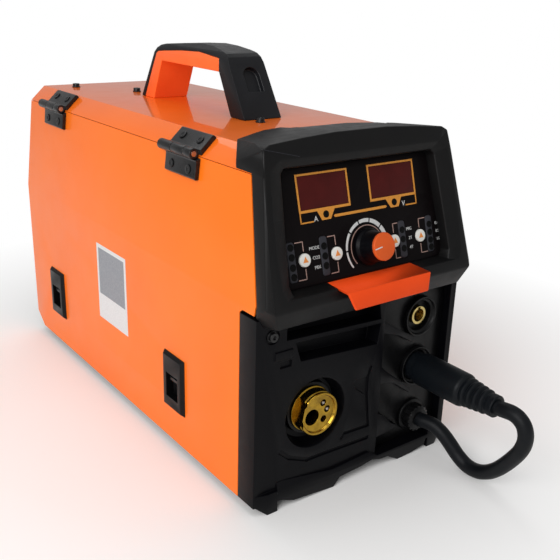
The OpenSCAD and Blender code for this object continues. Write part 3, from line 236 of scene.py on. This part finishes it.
# soft PVC and rubber: bluish black with a low, broad sheen; the feet are dull
sleeveRubber = moulding("sleeveRubber", "#0d1115", "#0a0d11", 0.42, 1400, 0.00006)
cordRubber = moulding("cordRubber", "#0e1014", "#0b0d10", 0.46, 1500, 0.00006)
footRubber = moulding("footRubber", "#121212", "#0e0e0e", 0.7, 900, 0.0001)
# window filters and inks
redFilter = displayFilter("redFilter")
amberInk = printed("amberInk", "#d08a2c", "#c07c25")
paleInk = printed("paleInk", "#cfd0cf", "#bdbebd")
roseInk = printed("roseInk", "#a98a80", "#967a70")
orangeInk = printed("orangeInk", "#e08a3a", "#d47e30")
labelGrey = printed("labelGrey", "#8d9096", "#7c7f85", 0.35)
labelPale = printed("labelPale", "#dcdcdc", "#cfcfd0", 0.35)
# blackened steel keeps little shine; bright steel, fins and copper show their drawing lines
blackSteel = metal("blackSteel", "#0f0f10", "#171719", 0.3, 260, metallic=0.25, depth=0.00004)
brightSteel = metal("brightSteel", "#c3bbb4", "#a39c96", 0.28, 420, (1, 0.08, 1))
zincSheet = galvanised("zincSheet")
aluminiumFins = metal("aluminiumFins", "#c4c7ca", "#adb0b4", 0.36, 500, (1, 0.05, 1))
copperWire = metal("copperWire", "#c47a4c", "#a9643a", 0.3, 500, (0.05, 1, 1))
windingCopper = metal("windingCopper", "#a85a2c", "#8a4722", 0.35, 600)
yellowTape = moulding("yellowTape", "#c9a63a", "#b99630", 0.45, 900, 0.00004)
boardGreen = circuitBoard("boardGreen")
# turned brass, paler on the socket's contacts, and a plain brass gas tail
torchBrass = turnedMetal("torchBrass", "#c09a38", "#957428", at(-51, 0, 82), 0.18)
socketBrass = turnedMetal("socketBrass", "#dcc988", "#b59f5c", at(75, 0, 138), 0.22)
gasBrass = metal("gasBrass", "#c9a23a", "#a88328", 0.25, 300)
print("materials made")


# shapes
def addObject(name, mesh, material, body, stands=None):
    made = bpy.data.objects.new(name, mesh)
    bpy.context.scene.collection.objects.link(made)
    mesh.materials.clear()
    mesh.materials.append(material)
    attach(made, body)
    if stands:
        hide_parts(*([stands] if isinstance(stands, str) else stands))
    return made


def bodyOf(node):
    for body, names in frame["record"]["behaviour"]["bodies"].items():
        if node in names:
            return body


straightOn = 2.5  # radians between two edges that carry on as one


def runsOf(lines):
    runs = {line: line for line in lines}

    def root(line):
        while runs[line] is not line:
            runs[line] = runs[runs[line]]
            line = runs[line]
        return line
    for line in lines:
        for vert in line.verts:
            away = line.other_vert(vert).co - vert.co
            for other in vert.link_edges:
                if other is line or other not in runs:
                    continue
                if away.angle(other.other_vert(vert).co - vert.co, 0) > straightOn:
                    runs[root(other)] = root(line)
    return {line: root(line) for line in lines}


# mm and degrees; an edge's bevel shrinks until both ends of each face have room
bevelSet = {"sharp": 17, "least": 2.5, "shortest": 20, "kept": 0.3, "rounds": 8, "spare": 0.92, "flat": 0.6,
            "crisp": 0.3, "merge": 0.02, "straight": 0.7, "leastSine": 0.05, "leastShare": 0.05,
            "settled": 0.98}


def fitted(sizes):
    runs = runsOf(sizes)
    sizes = {line: size / 1000 for line, size in sizes.items()}
    # a set's order can differ from run to run, and some bevels then differ by tenths of a millimetre
    faces = {face for line in sizes for face in line.link_faces}
    for _ in range(bevelSet["rounds"]):
        narrowest = {}
        for line, size in sizes.items():
            narrowest[runs[line]] = min(size, narrowest.get(runs[line], 1))
        sizes = {line: narrowest[runs[line]] for line in sizes}
        worst = 1
        for face in faces:
            for loop in face.loops:
                taken = 0
                near = [loop.edge]
                ends = ((loop, loop.link_loop_prev.edge), (loop.link_loop_next, loop.link_loop_next.edge))
                for corner, other in ends:
                    own, next_ = sizes.get(loop.edge, 0), sizes.get(other, 0)
                    near.append(other)
                    angle = corner.calc_angle()
                    if not corner.is_convex:
                        angle = 2 * math.pi - angle
                    if own and next_ and abs(angle - math.pi) < bevelSet["straight"]:
                        taken += max(own, next_) * math.tan((math.pi - angle) / 2)
                    elif abs(math.sin(angle)) > bevelSet["leastSine"]:
                        taken += (next_ + own * math.cos(angle)) / math.sin(angle)
                room = bevelSet["spare"] * loop.edge.calc_length()
                if taken > room:
                    worst = min(worst, room / taken)
                    for line in near:
                        if line in sizes:
                            sizes[line] *= max(room / taken, bevelSet["leastShare"])
        if worst > bevelSet["settled"]:
            break
    return {line: size * 1000 for line, size in sizes.items()}


def refined(node, material, edge=0.5, bend=2.0, steps=3, crisp=False, welds=()):
    mesh = parts[node].data.copy()
    form = bmesh.new()
    form.from_mesh(mesh)
    bmesh.ops.remove_doubles(form, verts=form.verts, dist=bevelSet["merge"] / 1000)
    for test, gap in welds:
        bmesh.ops.remove_doubles(form, verts=[v for v in form.verts if test(v.co * 1000)], dist=gap / 1000)
    bmesh.ops.dissolve_limit(form, angle_limit=math.radians(bevelSet["flat"]), verts=form.verts,
                             edges=form.edges)
    weights = form.edges.layers.float.new("bevel_weight_edge")
    sizes, bends = {}, set()
    for line in form.edges:
        if len(line.link_faces) != 2:
            continue
        angle = math.degrees(line.calc_face_angle(0))
        if angle > bevelSet["sharp"]:
            sizes[line] = edge
        elif angle > bevelSet["least"] and line.calc_length() > bevelSet["shortest"] / 1000:
            sizes[line] = bend
            bends.add(line)
    least = bend * bevelSet["kept"]
    sizes = {line: size for line, size in fitted(sizes).items() if line not in bends or size > least}
    if crisp:
        for line in form.edges:
            line.smooth = line in sizes or line.calc_face_angle(0) < math.radians(bevelSet["crisp"])
    widest = max(sizes.values(), default=edge)
    for line, size in sizes.items():
        line[weights] = size / widest
    form.to_mesh(mesh)
    form.free()
    for face in mesh.polygons:
        face.use_smooth = True
    made = addObject(node + "Shape", mesh, material, bodyOf(node), node)
    if sizes:
        bevel = made.modifiers.new("edges", "BEVEL")
        bevel.limit_method, bevel.width, bevel.segments = "WEIGHT", widest / 1000, steps
        bevel.use_clamp_overlap = False
        bevel.harden_normals = True
    return made


def meshFrom(form, name, angle=30):
    bmesh.ops.recalc_face_normals(form, faces=form.faces)
    mesh = bpy.data.meshes.new(name)
    form.to_mesh(mesh)
    form.free()
    mesh.shade_smooth()
    mesh.set_sharp_from_angle(angle=math.radians(angle))
    return mesh


def turned(name, profile, place, axis, material, body, stands=None, segments=64, closed=False):
    axis = Vector(axis).normalized()
    side = axis.orthogonal().normalized()
    other = axis.cross(side)
    form = bmesh.new()
    rings = []
    for radius, along in profile:
        centre = place + axis * along / 1000
        if radius < 1e-6:
            rings.append([form.verts.new(centre)])
            continue
        rings.append([form.verts.new(centre + (side * math.cos(t) + other * math.sin(t)) * radius / 1000)
                      for t in (2 * math.pi * k / segments for k in range(segments))])
    pairs = list(zip(rings, rings[1:] + ([rings[0]] if closed else [])))
    if not closed:
        pairs = pairs[:len(rings) - 1]
    for low, high in pairs:
        for k in range(segments):
            n = (k + 1) % segments
            if len(low) == 1 and len(high) == 1:
                continue
            if len(low) == 1:
                form.faces.new((low[0], high[k], high[n]))
            elif len(high) == 1:
                form.faces.new((low[k], low[n], high[0]))
            else:
                form.faces.new((low[k], low[n], high[n], high[k]))
    return addObject(name, meshFrom(form, name), material, body, stands)


def slab(form, outline, low, high):
    bottom = [form.verts.new(low(*p)) for p in outline]
    top = [form.verts.new(high(*p)) for p in outline]
    form.faces.new(bottom[::-1])
    form.faces.new(top)
    for i in range(len(outline)):
        j = (i + 1) % len(outline)
        form.faces.new((bottom[i], bottom[j], top[j], top[i]))


# the control panel leans back from its lower edge; its film lies in the hood's recess
panelSet = {"lean": 15.7, "y": -16.7, "z": 186.8, "film": -12.94}
panelLean = math.radians(panelSet["lean"])


def onPanel(x, s, out):
    return at(x, panelSet["y"] + s * math.sin(panelLean) - out * math.cos(panelLean),
              panelSet["z"] + s * math.cos(panelLean) + out * math.sin(panelLean))


def line(a, b, width):
    d = (Vector(b) - Vector(a)).normalized() * width / 2
    n = Vector((-d.y, d.x))
    a, b = Vector(a) - d, Vector(b) + d
    return [tuple(a - n), tuple(b - n), tuple(b + n), tuple(a + n)]


def printOnPanel(name, outlines, material, body="cabinet", low=-13.02, high=-12.86):
    form = bmesh.new()
    for outline in outlines:
        slab(form, outline, lambda x, s: onPanel(x, s, low), lambda x, s: onPanel(x, s, high))
    made = addObject(name, meshFrom(form, name), material, body)
    return made


def placeOnPoints():
    tree = bpy.data.node_groups.new("placeOnPoints", "GeometryNodeTree")
    for label, kind in (("Points", "Geometry"), ("Part", "Object"), ("Size", "Float"), ("Finish", "Material")):
        tree.interface.new_socket(label, in_out="INPUT", socket_type="NodeSocket" + kind)
    tree.interface.new_socket("Result", in_out="OUTPUT", socket_type="NodeSocketGeometry")
    given = addNode(tree, "NodeGroupInput").outputs
    part = addNode(tree, "GeometryNodeObjectInfo", {"Object": given["Part"]}).outputs["Geometry"]
    turn = addNode(tree, "GeometryNodeInputNamedAttribute", {"Name": "turn"},
                   data_type="FLOAT_VECTOR").outputs[0]
    spin = addNode(tree, "FunctionNodeEulerToRotation", {0: turn}).outputs[0]
    placed = addNode(tree, "GeometryNodeInstanceOnPoints",
                     {"Points": given["Points"], "Instance": part, "Rotation": spin,
                      "Scale": given["Size"]}).outputs[0]
    real = addNode(tree, "GeometryNodeRealizeInstances", {0: placed}).outputs[0]
    finished = addNode(tree, "GeometryNodeSetMaterial",
                       {"Geometry": real, "Material": given["Finish"]}).outputs[0]
    addNode(tree, "NodeGroupOutput", {0: finished})
    return tree


pointTree = placeOnPoints()


def evaluatedMesh(holder, name):
    graph = bpy.context.evaluated_depsgraph_get()
    mesh = bpy.data.meshes.new_from_object(holder.evaluated_get(graph), depsgraph=graph)
    mesh.name = name
    holder.modifiers.clear()
    bpy.data.objects.remove(holder)
    return mesh


def repeated(name, partMesh, places, material, body, size=1.0, angle=30):
    points = bpy.data.meshes.new(name + "Points")
    points.from_pydata([p for p, _ in places], [], [])
    turns = points.attributes.new("turn", "FLOAT_VECTOR", "POINT")
    turns.data.foreach_set("vector", [v for _, t in places for v in t])
    holder = bpy.data.objects.new(name + "Holder", points)
    bpy.context.scene.collection.objects.link(holder)
    part = bpy.data.objects.new(name + "Part", partMesh)
    bpy.context.scene.collection.objects.link(part)
    modifier = holder.modifiers.new("repeat", "NODES")
    modifier.node_group = pointTree
    sockets = {s.name: s.identifier for s in pointTree.interface.items_tree if s.in_out == "INPUT"}
    modifier[sockets["Part"]] = part
    modifier[sockets["Size"]] = size
    modifier[sockets["Finish"]] = material
    mesh = evaluatedMesh(holder, name)
    bpy.data.objects.remove(part)
    mesh.shade_smooth()
    mesh.set_sharp_from_angle(angle=math.radians(angle))
    made = addObject(name, mesh, material, body)


def facing(direction):
    return tuple(Vector(direction).to_track_quat("Z", "Y").to_euler())


# polarity cable
cableSet = {"diameter": 13.5, "steps": 6,
            "route": [(75, -4.5, 36), (75, -7.5, 36), (76.5, -12.5, 36.4), (79, -21, 35), (81.5, -30, 29.5),
                      (84, -38, 21.5), (86, -46, 13.5), (87, -56, 8.5), (87, -68, 9), (87, -79, 14),
                      (86, -89, 22.5), (84.5, -98, 33), (83, -106, 44), (81, -113, 55), (79.5, -117, 65),
                      (78, -118, 74.5), (77, -115.5, 82.5), (76, -110, 87.6), (75.3, -104, 89.2),
                      (75, -98, 88.8), (75, -92, 88), (75, -89, 88)]}


def smoothPath(points, steps):
    points = [at(*p) for p in points]
    full = [points[0] * 2 - points[1]] + points + [points[-1] * 2 - points[-2]]
    path = []
    for i in range(1, len(full) - 2):
        a, b, c, d = full[i - 1:i + 3]
        for k in range(steps):
            t = k / steps
            path.append(0.5 * (2 * b + (c - a) * t + (2 * a - 5 * b + 4 * c - d) * t ** 2
                               + (3 * b - a - 3 * c + d) * t ** 3))
    return path + [points[-1]]


def makeCable(setting):
    path = smoothPath(setting["route"], setting["steps"])
    curve = bpy.data.curves.new("polarityCable", "CURVE")
    curve.dimensions = "3D"
    spline = curve.splines.new("POLY")
    spline.points.add(len(path) - 1)
    for point, place in zip(spline.points, path):
        point.co = (*place, 1)
    curve.bevel_depth = setting["diameter"] / 2000
    curve.bevel_resolution = 8
    curve.use_fill_caps = True
    curve.materials.append(cordRubber)
    cable = bpy.data.objects.new("polarityCable", curve)
    bpy.context.scene.collection.objects.link(cable)
    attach(cable, "cabinet")
    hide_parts("polarity_cable")
    length = sum((b - a).length for a, b in zip(path, path[1:]))
    return cable, length


cable, cableLength = makeCable(cableSet)
print("cable made, length", round(cableLength, 4))

# plug on the cable
plugSet = {"ribs": [(9.4, 0), (10.0, 0.8), (10.0, 6.0), (9.3, 7.2), (9.3, 9.2), (10.6, 9.9), (11.2, 10.8),
                    (11.2, 12.6), (10.7, 13.4), (9.9, 14.1), (9.9, 15.5), (11.3, 16.3), (11.9, 17.1),
                    (11.9, 18.9), (11.4, 19.7), (10.6, 20.4), (10.6, 21.8), (12.1, 22.6), (12.7, 23.4),
                    (12.7, 25.2), (12.2, 26.0), (11.4, 26.7), (11.4, 28.1), (12.8, 28.9), (13.4, 29.7),
                    (13.4, 31.5), (12.9, 32.3), (12.7, 33.0), (14.0, 34.2), (15.0, 35.4), (15.3, 37.0)],
           "grip": [(15.5, 60), (15.5, 85.6), (15.1, 87.0), (14.2, 87.5), (13.6, 88), (13.6, 97.1)],
           "spigot": [(6.2, 97.2), (6.2, 121.8), (4.7, 123.4), (0, 123.4)]}
plug = turned("plugSleeve", [(0, 0)] + plugSet["ribs"] + plugSet["grip"] + plugSet["spigot"],
              at(*cableSet["route"][-1]), (0, 1, 0), sleeveRubber, "cabinet", "polarity_plug", 72)
print("plug made")

# cabinet sheets
for node in ("right_side_panel", "door_panel"):
    refined(node, orangeEnamel, 0.35, 16.0, 6)
refined("top_cover", roofEnamel, 0.35, 3.0, 4)
refined("base_tray", greyEnamel, 0.35)
refined("rear_panel", greyEnamel, 0.3)
refined("centre_divider", zincSheet, 0.3)
print("cabinet made")

# mouldings
refined("lower_bezel", bezelPlastic, 0.55, 0.8, 3)
refined("socket_plate", darkPlastic, 0.4)
refined("control_hood", hoodPlastic, 1.1, 1.6, 3, crisp=True,
        welds=((lambda p: True, 0.4), (lambda p: abs(p.x) > 90 and p.z > 300, 1.9)))
refined("front_lip", orangePlastic, 1.2, 1.2, 3)
refined("handle_shell", handlePlastic, 1.2, 1.2, 3)
refined("handle_liner", linerPlastic, 0.8, 1.2, 3)
refined("control_panel", panelFilm, 0.2)
refined("display_windows", redFilter, 0.3)
refined("indicator_strips", greyLens, 0.8)
refined("control_board", boardGreen, 0.2)
print("mouldings made")

# prints on the control panel, and a painted highlight along a crease of the hood
printSet = {"windowX": 37.3, "half": 26.5, "low": 71, "high": 101.5, "innerLow": 73.1, "innerHigh": 99.9,
            "innerHalf": 24.8, "tabLow": 63.3, "tab": (28, 33, 42, 46), "tailX": 63.1, "tailEnd": 51,
            "tailLow": 63.4, "tailWidth": 1.1}
titleBar = [(-28.5, 64), (27, 64), (28.5, 65.1), (27, 66.2), (-28.5, 66.2), (-29.6, 65.1)]
knobPlace = (2, 35)


def displayPrints(setting):
    outlines = []
    low, high, innerLow, innerHigh = (setting[key] for key in ("low", "high", "innerLow", "innerHigh"))
    for m in (-1, 1):
        c = m * setting["windowX"]
        left, right = c - setting["half"], c + setting["half"]
        innerLeft, innerRight = c - setting["innerHalf"], c + setting["innerHalf"]
        outlines += [[(left, low), (right, low), (right, innerLow), (left, innerLow)],
                     [(left, innerHigh), (right, innerHigh), (right, high), (left, high)],
                     [(left, innerLow), (innerLeft, innerLow), (innerLeft, innerHigh), (left, innerHigh)],
                     [(innerRight, innerLow), (right, innerLow), (right, innerHigh), (innerRight, innerHigh)]]
        a, b, c, d = (m * x for x in setting["tab"])
        outlines.append([(a, low), (b, setting["tabLow"]), (c, setting["tabLow"]), (d, low)][::m])
        outer, tail, width = m * setting["tailX"], setting["tailLow"], setting["tailWidth"]
        outlines += [line((outer, low), (outer, tail), width),
                     line((outer - m * 0.4, tail), (m * setting["tailEnd"], tail), width)]
    return outlines + [titleBar]


printOnPanel("displayFrames", displayPrints(printSet), amberInk)


def arcBand(cx, cs, inner, outer, start, end, steps):
    bands = []
    for k in range(steps):
        t0, t1 = (math.radians(start + (end - start) * (k + d) / steps) for d in (0, 1))
        i0, i1 = inner(k / steps), inner((k + 1) / steps)
        bands.append([(cx + i0 * math.cos(t0), cs + i0 * math.sin(t0)),
                      (cx + i1 * math.cos(t1), cs + i1 * math.sin(t1)),
                      (cx + outer * math.cos(t1), cs + outer * math.sin(t1)),
                      (cx + outer * math.cos(t0), cs + outer * math.sin(t0))])
    return bands


# the scale's bands grow thicker clockwise; angles in degrees from the right
scaleSet = {"outer": 23.6, "thin": 1.4, "grow": 3.4, "from": 219, "sweep": 266,
            "bands": ((219, 183), (179.5, 143), (139.5, 110), (106.5, 79), (75.5, 45), (41.5, 9), (5.5, -40))}
ringSet = {"inner": 17.6, "outer": 18.3, "from": 222, "to": -42, "steps": 48}


def scaleInner(start, end):
    outer, thin, grow, first, sweep = (scaleSet[key] for key in ("outer", "thin", "grow", "from", "sweep"))
    return lambda f: outer - thin - grow * (first - (start + (end - start) * f)) / sweep


scaleBands = []
for start, end in scaleSet["bands"]:
    scaleBands += arcBand(*knobPlace, scaleInner(start, end), scaleSet["outer"], start, end, 8)
printOnPanel("knobScale", scaleBands, paleInk)
# painted highlight: a thin grey strip on the flat hood front, where the edge between two facets would catch the
# light
printOnPanel("hoodSeam", [line((-97, 122.2), (-66, 114.6), 0.35)], greyLens, "cabinet", -0.1, 0.1)
printOnPanel("knobRing", arcBand(*knobPlace, lambda f: ringSet["inner"], ringSet["outer"], ringSet["from"],
                                 ringSet["to"], ringSet["steps"]), roseInk)

stripSet = {"xs": (-76.8, -43.9, 42.5, 75.3), "buttons": (-64.5, -31.7, 32.5, 63.2), "gap": 4.8,
            "brackets": ((49.6, 42.2), (20, 27.8)), "width": 0.7}
brackets = []
for strip, button in zip(stripSet["xs"], stripSet["buttons"]):
    side = 1 if button > strip else -1
    for s, far in stripSet["brackets"]:
        brackets += [line((strip + side * stripSet["gap"], s), (button, s), stripSet["width"]),
                     line((button, s), (button, far), stripSet["width"])]
printOnPanel("buttonBrackets", brackets, roseInk)
print("panel prints made")

# indicator lamps
lampSet = {"radius": 2.9, "rise": 0.35, "sides": 28, "stripOut": -12.62, "frameOut": -12.88,
           "frame": ((-37.4, 67.6), (37.4, 67.6)),
           "rows": {-76.8: (46.7, 39, 31, 23.6), -43.9: (43, 35, 27.2), 42.5: (43, 35, 27),
                    75.3: (43.2, 36.2, 29.4, 23.1)}}


def lampMesh(radius, rise, sides):
    form = bmesh.new()
    profile = [(radius, 0), (radius, rise * 0.7), (radius * 0.9, rise), (radius * 0.68, rise),
               (radius * 0.62, rise * 0.4)]
    rings = [[form.verts.new((r * math.cos(t) / 1000, r * math.sin(t) / 1000, z / 1000)) for t in
              (2 * math.pi * k / sides for k in range(sides))] for r, z in profile]
    for low, high in zip(rings, rings[1:]):
        for k in range(sides):
            n = (k + 1) % sides
            form.faces.new((low[k], low[n], high[n], high[k]))
    form.faces.new(rings[-1])
    form.faces.new(rings[0][::-1])
    bmesh.ops.recalc_face_normals(form, faces=form.faces)
    mesh = bpy.data.meshes.new("lamp")
    form.to_mesh(mesh)
    form.free()
    return mesh


panelOut = (0, -math.cos(panelLean), math.sin(panelLean))
lampPlaces = [(onPanel(x, s, lampSet["stripOut"]), facing(panelOut)) for x, row in lampSet["rows"].items()
              for s in row]
lampPlaces += [(onPanel(x, s, lampSet["frameOut"]), facing(panelOut)) for x, s in lampSet["frame"]]
repeated("indicatorLamps", lampMesh(lampSet["radius"], lampSet["rise"], lampSet["sides"]), lampPlaces, ledRing,
         "cabinet")

# knob and buttons
refined("knob_skirt", bezelPlastic, 0.5, 0.5)
refined("knob_cap", capPlastic, 0.5, 0.5)
pointerSet = {"from": (-8.2, 34.0), "to": (-1.5, 35.0), "width": 0.9, "low": 7.9, "high": 8.12}
markSet = {"half": 2.6, "foot": 33.1, "tip": 37.9, "low": -11.55, "high": -11.4}
pointer = bmesh.new()
slab(pointer, line(pointerSet["from"], pointerSet["to"], pointerSet["width"]),
     lambda x, s: onPanel(x, s, pointerSet["low"]), lambda x, s: onPanel(x, s, pointerSet["high"]))
addObject("knobPointer", meshFrom(pointer, "knobPointer"), paleInk, "encoder_knob")
for i, x in enumerate(stripSet["buttons"]):
    refined(f"button_{i + 1}", whitePlastic, 0.6, 0.5)
    mark = [(x - markSet["half"], markSet["foot"]), (x + markSet["half"], markSet["foot"]), (x, markSet["tip"])]
    printOnPanel(f"buttonMark{i + 1}", [mark], orangeInk, f"button_{i + 1}", markSet["low"], markSet["high"])
print("controls made")

# words and numbers beside lamps and windows
wordSet = {"size": 3.7, "thick": 0.07, "spacing": 0.98}
letterSet = {"size": 6.2, "thick": 0.07, "spacing": 1}
words = [("MODE", -53.6, 41.8), ("CO2", -52.6, 34), ("MIX", -52.3, 26.2),
         ("MIG", 50.8, 41.7), ("2T", 51.6, 33.7), ("4T", 51.8, 25.7), ("0.8", 85, 41.9), ("0.9", 85.2, 34.9),
         ("1.0", 85.4, 28)]


def lettering(name, setting, lines, spot, material, body="cabinet"):
    form = bmesh.new()
    for text, across, upward in lines:
        curve = bpy.data.curves.new(name, "FONT")
        curve.body, curve.size, curve.extrude = text, setting["size"], setting["thick"]
        curve.space_character, curve.resolution_u, curve.align_x = setting["spacing"], 3, "CENTER"
        holder = bpy.data.objects.new(name, curve)
        bpy.context.scene.collection.objects.link(holder)
        mesh = evaluatedMesh(holder, name)
        for vert in mesh.vertices:
            vert.co = spot(across + vert.co.x, upward + vert.co.y, vert.co.z)
        form.from_mesh(mesh)
        bpy.data.meshes.remove(mesh)
    addObject(name, meshFrom(form, name), material, body)


def overPanel(x, s, out):
    return onPanel(x, s, out + panelSet["film"])


lettering("panelWords", wordSet, words, overPanel, paleInk)
lettering("panelLetters", letterSet, [("A", -48, 63.2), ("V", 48, 63.2)], overPanel, paleInk)

# plain plate on the door
plateSet = {"x": -113, "y0": 222, "y1": 288, "z0": 82, "z1": 164, "thick": 0.25}


def platePiece(name, outline, low, high, material):
    form = bmesh.new()
    slab(form, outline, lambda y, z: at(plateSet["x"] - low, y, z), lambda y, z: at(plateSet["x"] - high, y, z))
    addObject(name, meshFrom(form, name), material, "side_door")


def plateBlock(low, high):
    y0, y1, z0, z1 = (plateSet[key] for key in ("y0", "y1", "z0", "z1"))
    wide, tall = y1 - y0, z1 - z0
    a, b, c, d = y0 + wide * low[0], y0 + wide * high[0], z0 + tall * low[1], z0 + tall * high[1]
    return [(a, c), (b, c), (b, d), (a, d)]


platePiece("doorPlate", plateBlock((0, 0), (1, 1)), -0.02, plateSet["thick"], labelPale)
platePiece("doorPlateHead", plateBlock((0.06, 0.34), (0.94, 0.95)), 0.1, plateSet["thick"] + 0.05, labelGrey)
print("words and plate made")

# screws, hinges and latches
refined("case_screws", blackSteel, 0.3, 0.5)
for node in ("fixed_hinge_leaves", "door_hinge_leaves"):
    refined(node, blackSteel, 0.7, 0.7)
refined("hinge_pins", brightSteel, 0.3)
refined("fixed_leaf_screws", blackSteel, 0.2)
refined("door_leaf_screws", blackSteel, 0.2)
refined("latch_frames", darkPlastic, 0.35, 0.35)
for node in ("front_latch_bolt", "rear_latch_bolt"):
    refined(node, blackSteel, 0.15)
print("hinges and latches made")

# connectors
refined("torch_connector", torchBrass, 0.25, 0.25)
refined("torch_insulator", darkPlastic, 0.4)
pinSet = {"holes": [(-46, 90.5), (-41.5, 83.5)], "deep": 12.1, "sides": 32,
          "profile": [(0, 0), (1.5, 0), (1.5, 16), (1.2, 16.7), (0, 16.7)]}
for i, (x, z) in enumerate(pinSet["holes"]):
    pin = turned(f"torchPin{i + 1}", pinSet["profile"], at(x, pinSet["deep"], z), (0, -1, 0), brightSteel,
                 "cabinet", segments=pinSet["sides"])
refined("socket_shells", darkPlastic, 0.4, 0.4)
refined("socket_contacts", socketBrass, 0.3)
refined("cable_gland", darkPlastic, 0.5, 0.5)
print("connectors made")

# inside and rear
innerFinishes = {
    "spool_spindle": darkPlastic, "spool_nut": darkPlastic, "feeder_frame": darkPlastic,
    "feed_motor": blackSteel, "fan_frame": darkPlastic, "gas_valve": brightSteel, "gas_inlet": gasBrass,
    "mains_gland": darkPlastic, "switch_housing": darkPlastic, "power_board": boardGreen,
    "heatsink": aluminiumFins, "transformer": yellowTape, "output_choke": windingCopper,
    "rear_feet": footRubber, "spool_reel": darkPlastic, "drive_roll": brightSteel,
    "pressure_arm": blackSteel, "idler_roll": brightSteel, "tension_knob": darkPlastic,
    "fan_rotor": darkPlastic, "switch_rocker": darkPlastic,
}
for node, material in innerFinishes.items():
    refined(node, material, 0.4, 0.5)
windSet = {"place": (-47, 330, 150), "inner": 48, "outer": 82, "from": 3, "to": 52, "turns": 47, "valley": 0.3,
           "flank": 0.07}


def windingProfile(setting):
    low, high, outer = setting["from"], setting["to"], setting["outer"]
    pitch = (high - low) / setting["turns"]
    rim = []
    for k in range(setting["turns"]):
        start = low + k * pitch
        rim += [(outer - setting["valley"], start + 0.05 * pitch),
                (outer - setting["flank"], start + 0.25 * pitch),
                (outer, start + 0.5 * pitch),
                (outer - setting["flank"], start + 0.75 * pitch)]
    return [(setting["inner"], low)] + rim + [(outer - setting["valley"], high), (setting["inner"], high)]


turned("spoolWinding", windingProfile(windSet), at(*windSet["place"]), (-1, 0, 0), copperWire, "wire_spool",
       "spool_winding", 96, closed=True)
print("inner and rear pieces made")

# stage
stageSet = {"floor": "#fbfaf9", "world": "#ffffff", "strength": 0.44, "fadeFrom": 0.27, "fadeTo": 0.6}


def makeStage(setting):
    mesh = bpy.data.meshes.new("floor")
    mesh.from_pydata([(-9, -9, 0), (9, -9, 0), (9, 9, 0), (-9, 9, 0)], [], [(0, 1, 2, 3)])
    floor = bpy.data.objects.new("floor", mesh)
    bpy.context.scene.collection.objects.link(floor)
    material, tree, shader, place = startMaterial("paleFloor", **{"Roughness": 0.9, "Specular IOR Level": 0.1})
    shader.inputs["Base Color"].default_value = linear(setting["floor"])
    away = addNode(tree, "ShaderNodeVectorMath", {0: place}, operation="LENGTH").outputs["Value"]
    fade = ranged(tree, away, 0, 1, setting["fadeFrom"], setting["fadeTo"])
    rays = addNode(tree, "ShaderNodeLightPath").outputs
    direct = addNode(tree, "ShaderNodeMath", {0: rays["Is Camera Ray"], 1: rays["Is Transmission Ray"]},
                     operation="MAXIMUM").outputs[0]
    share = addNode(tree, "ShaderNodeMath", {0: fade, 1: direct}, operation="MULTIPLY").outputs[0]
    white = addNode(tree, "ShaderNodeEmission", {"Color": (1, 1, 1, 1), "Strength": 1.0}).outputs[0]
    mixed = addNode(tree, "ShaderNodeMixShader", {0: share, 1: shader.outputs[0], 2: white}).outputs[0]
    tree.links.new(mixed, next(n for n in tree.nodes if n.type == "OUTPUT_MATERIAL").inputs["Surface"])
    mesh.materials.append(material)
    world = bpy.data.worlds.new("studio")
    world.use_nodes = True
    tree = world.node_tree
    tree.nodes.clear()
    rays = addNode(tree, "ShaderNodeLightPath").outputs
    direct = addNode(tree, "ShaderNodeMath", {0: rays["Is Camera Ray"], 1: rays["Is Transmission Ray"]},
                     operation="MAXIMUM").outputs[0]
    strength = ranged(tree, direct, setting["strength"], 1.0, 0, 1)
    back = addNode(tree, "ShaderNodeBackground", {"Color": linear(setting["world"]), "Strength": strength})
    addNode(tree, "ShaderNodeOutputWorld", {"Surface": back.outputs[0]})
    bpy.context.scene.world = world


def softBox(name, place, target, size, power):
    data = bpy.data.lights.new(name, "AREA")
    data.shape, data.size, data.size_y, data.energy = "RECTANGLE", size[0], size[1], power
    lamp = bpy.data.objects.new(name, data)
    bpy.context.scene.collection.objects.link(lamp)
    lamp.location = place
    lamp.rotation_mode = "QUATERNION"
    lamp.rotation_quaternion = (Vector(target) - Vector(place)).to_track_quat("-Z", "Y")


makeStage(stageSet)
# metres and watts: where each soft box stands, what it faces, its sides and its power
lightSet = {"leftBox": ((-1.6, -0.9, 1.1), (0, 0, 0.2), (1.4, 1.2), 27),
            "topBox": ((0.3, 1.1, 1.9), (0, 0, 0.25), (1.6, 1.2), 8),
            "frontBox": ((-0.3, -1.1, 2.2), (0, -0.2, 0.25), (1.2, 1.0), 5)}
for name, setting in lightSet.items():
    softBox(name, *setting)
bpy.context.scene.view_settings.view_transform = "Standard"
print("stage made")
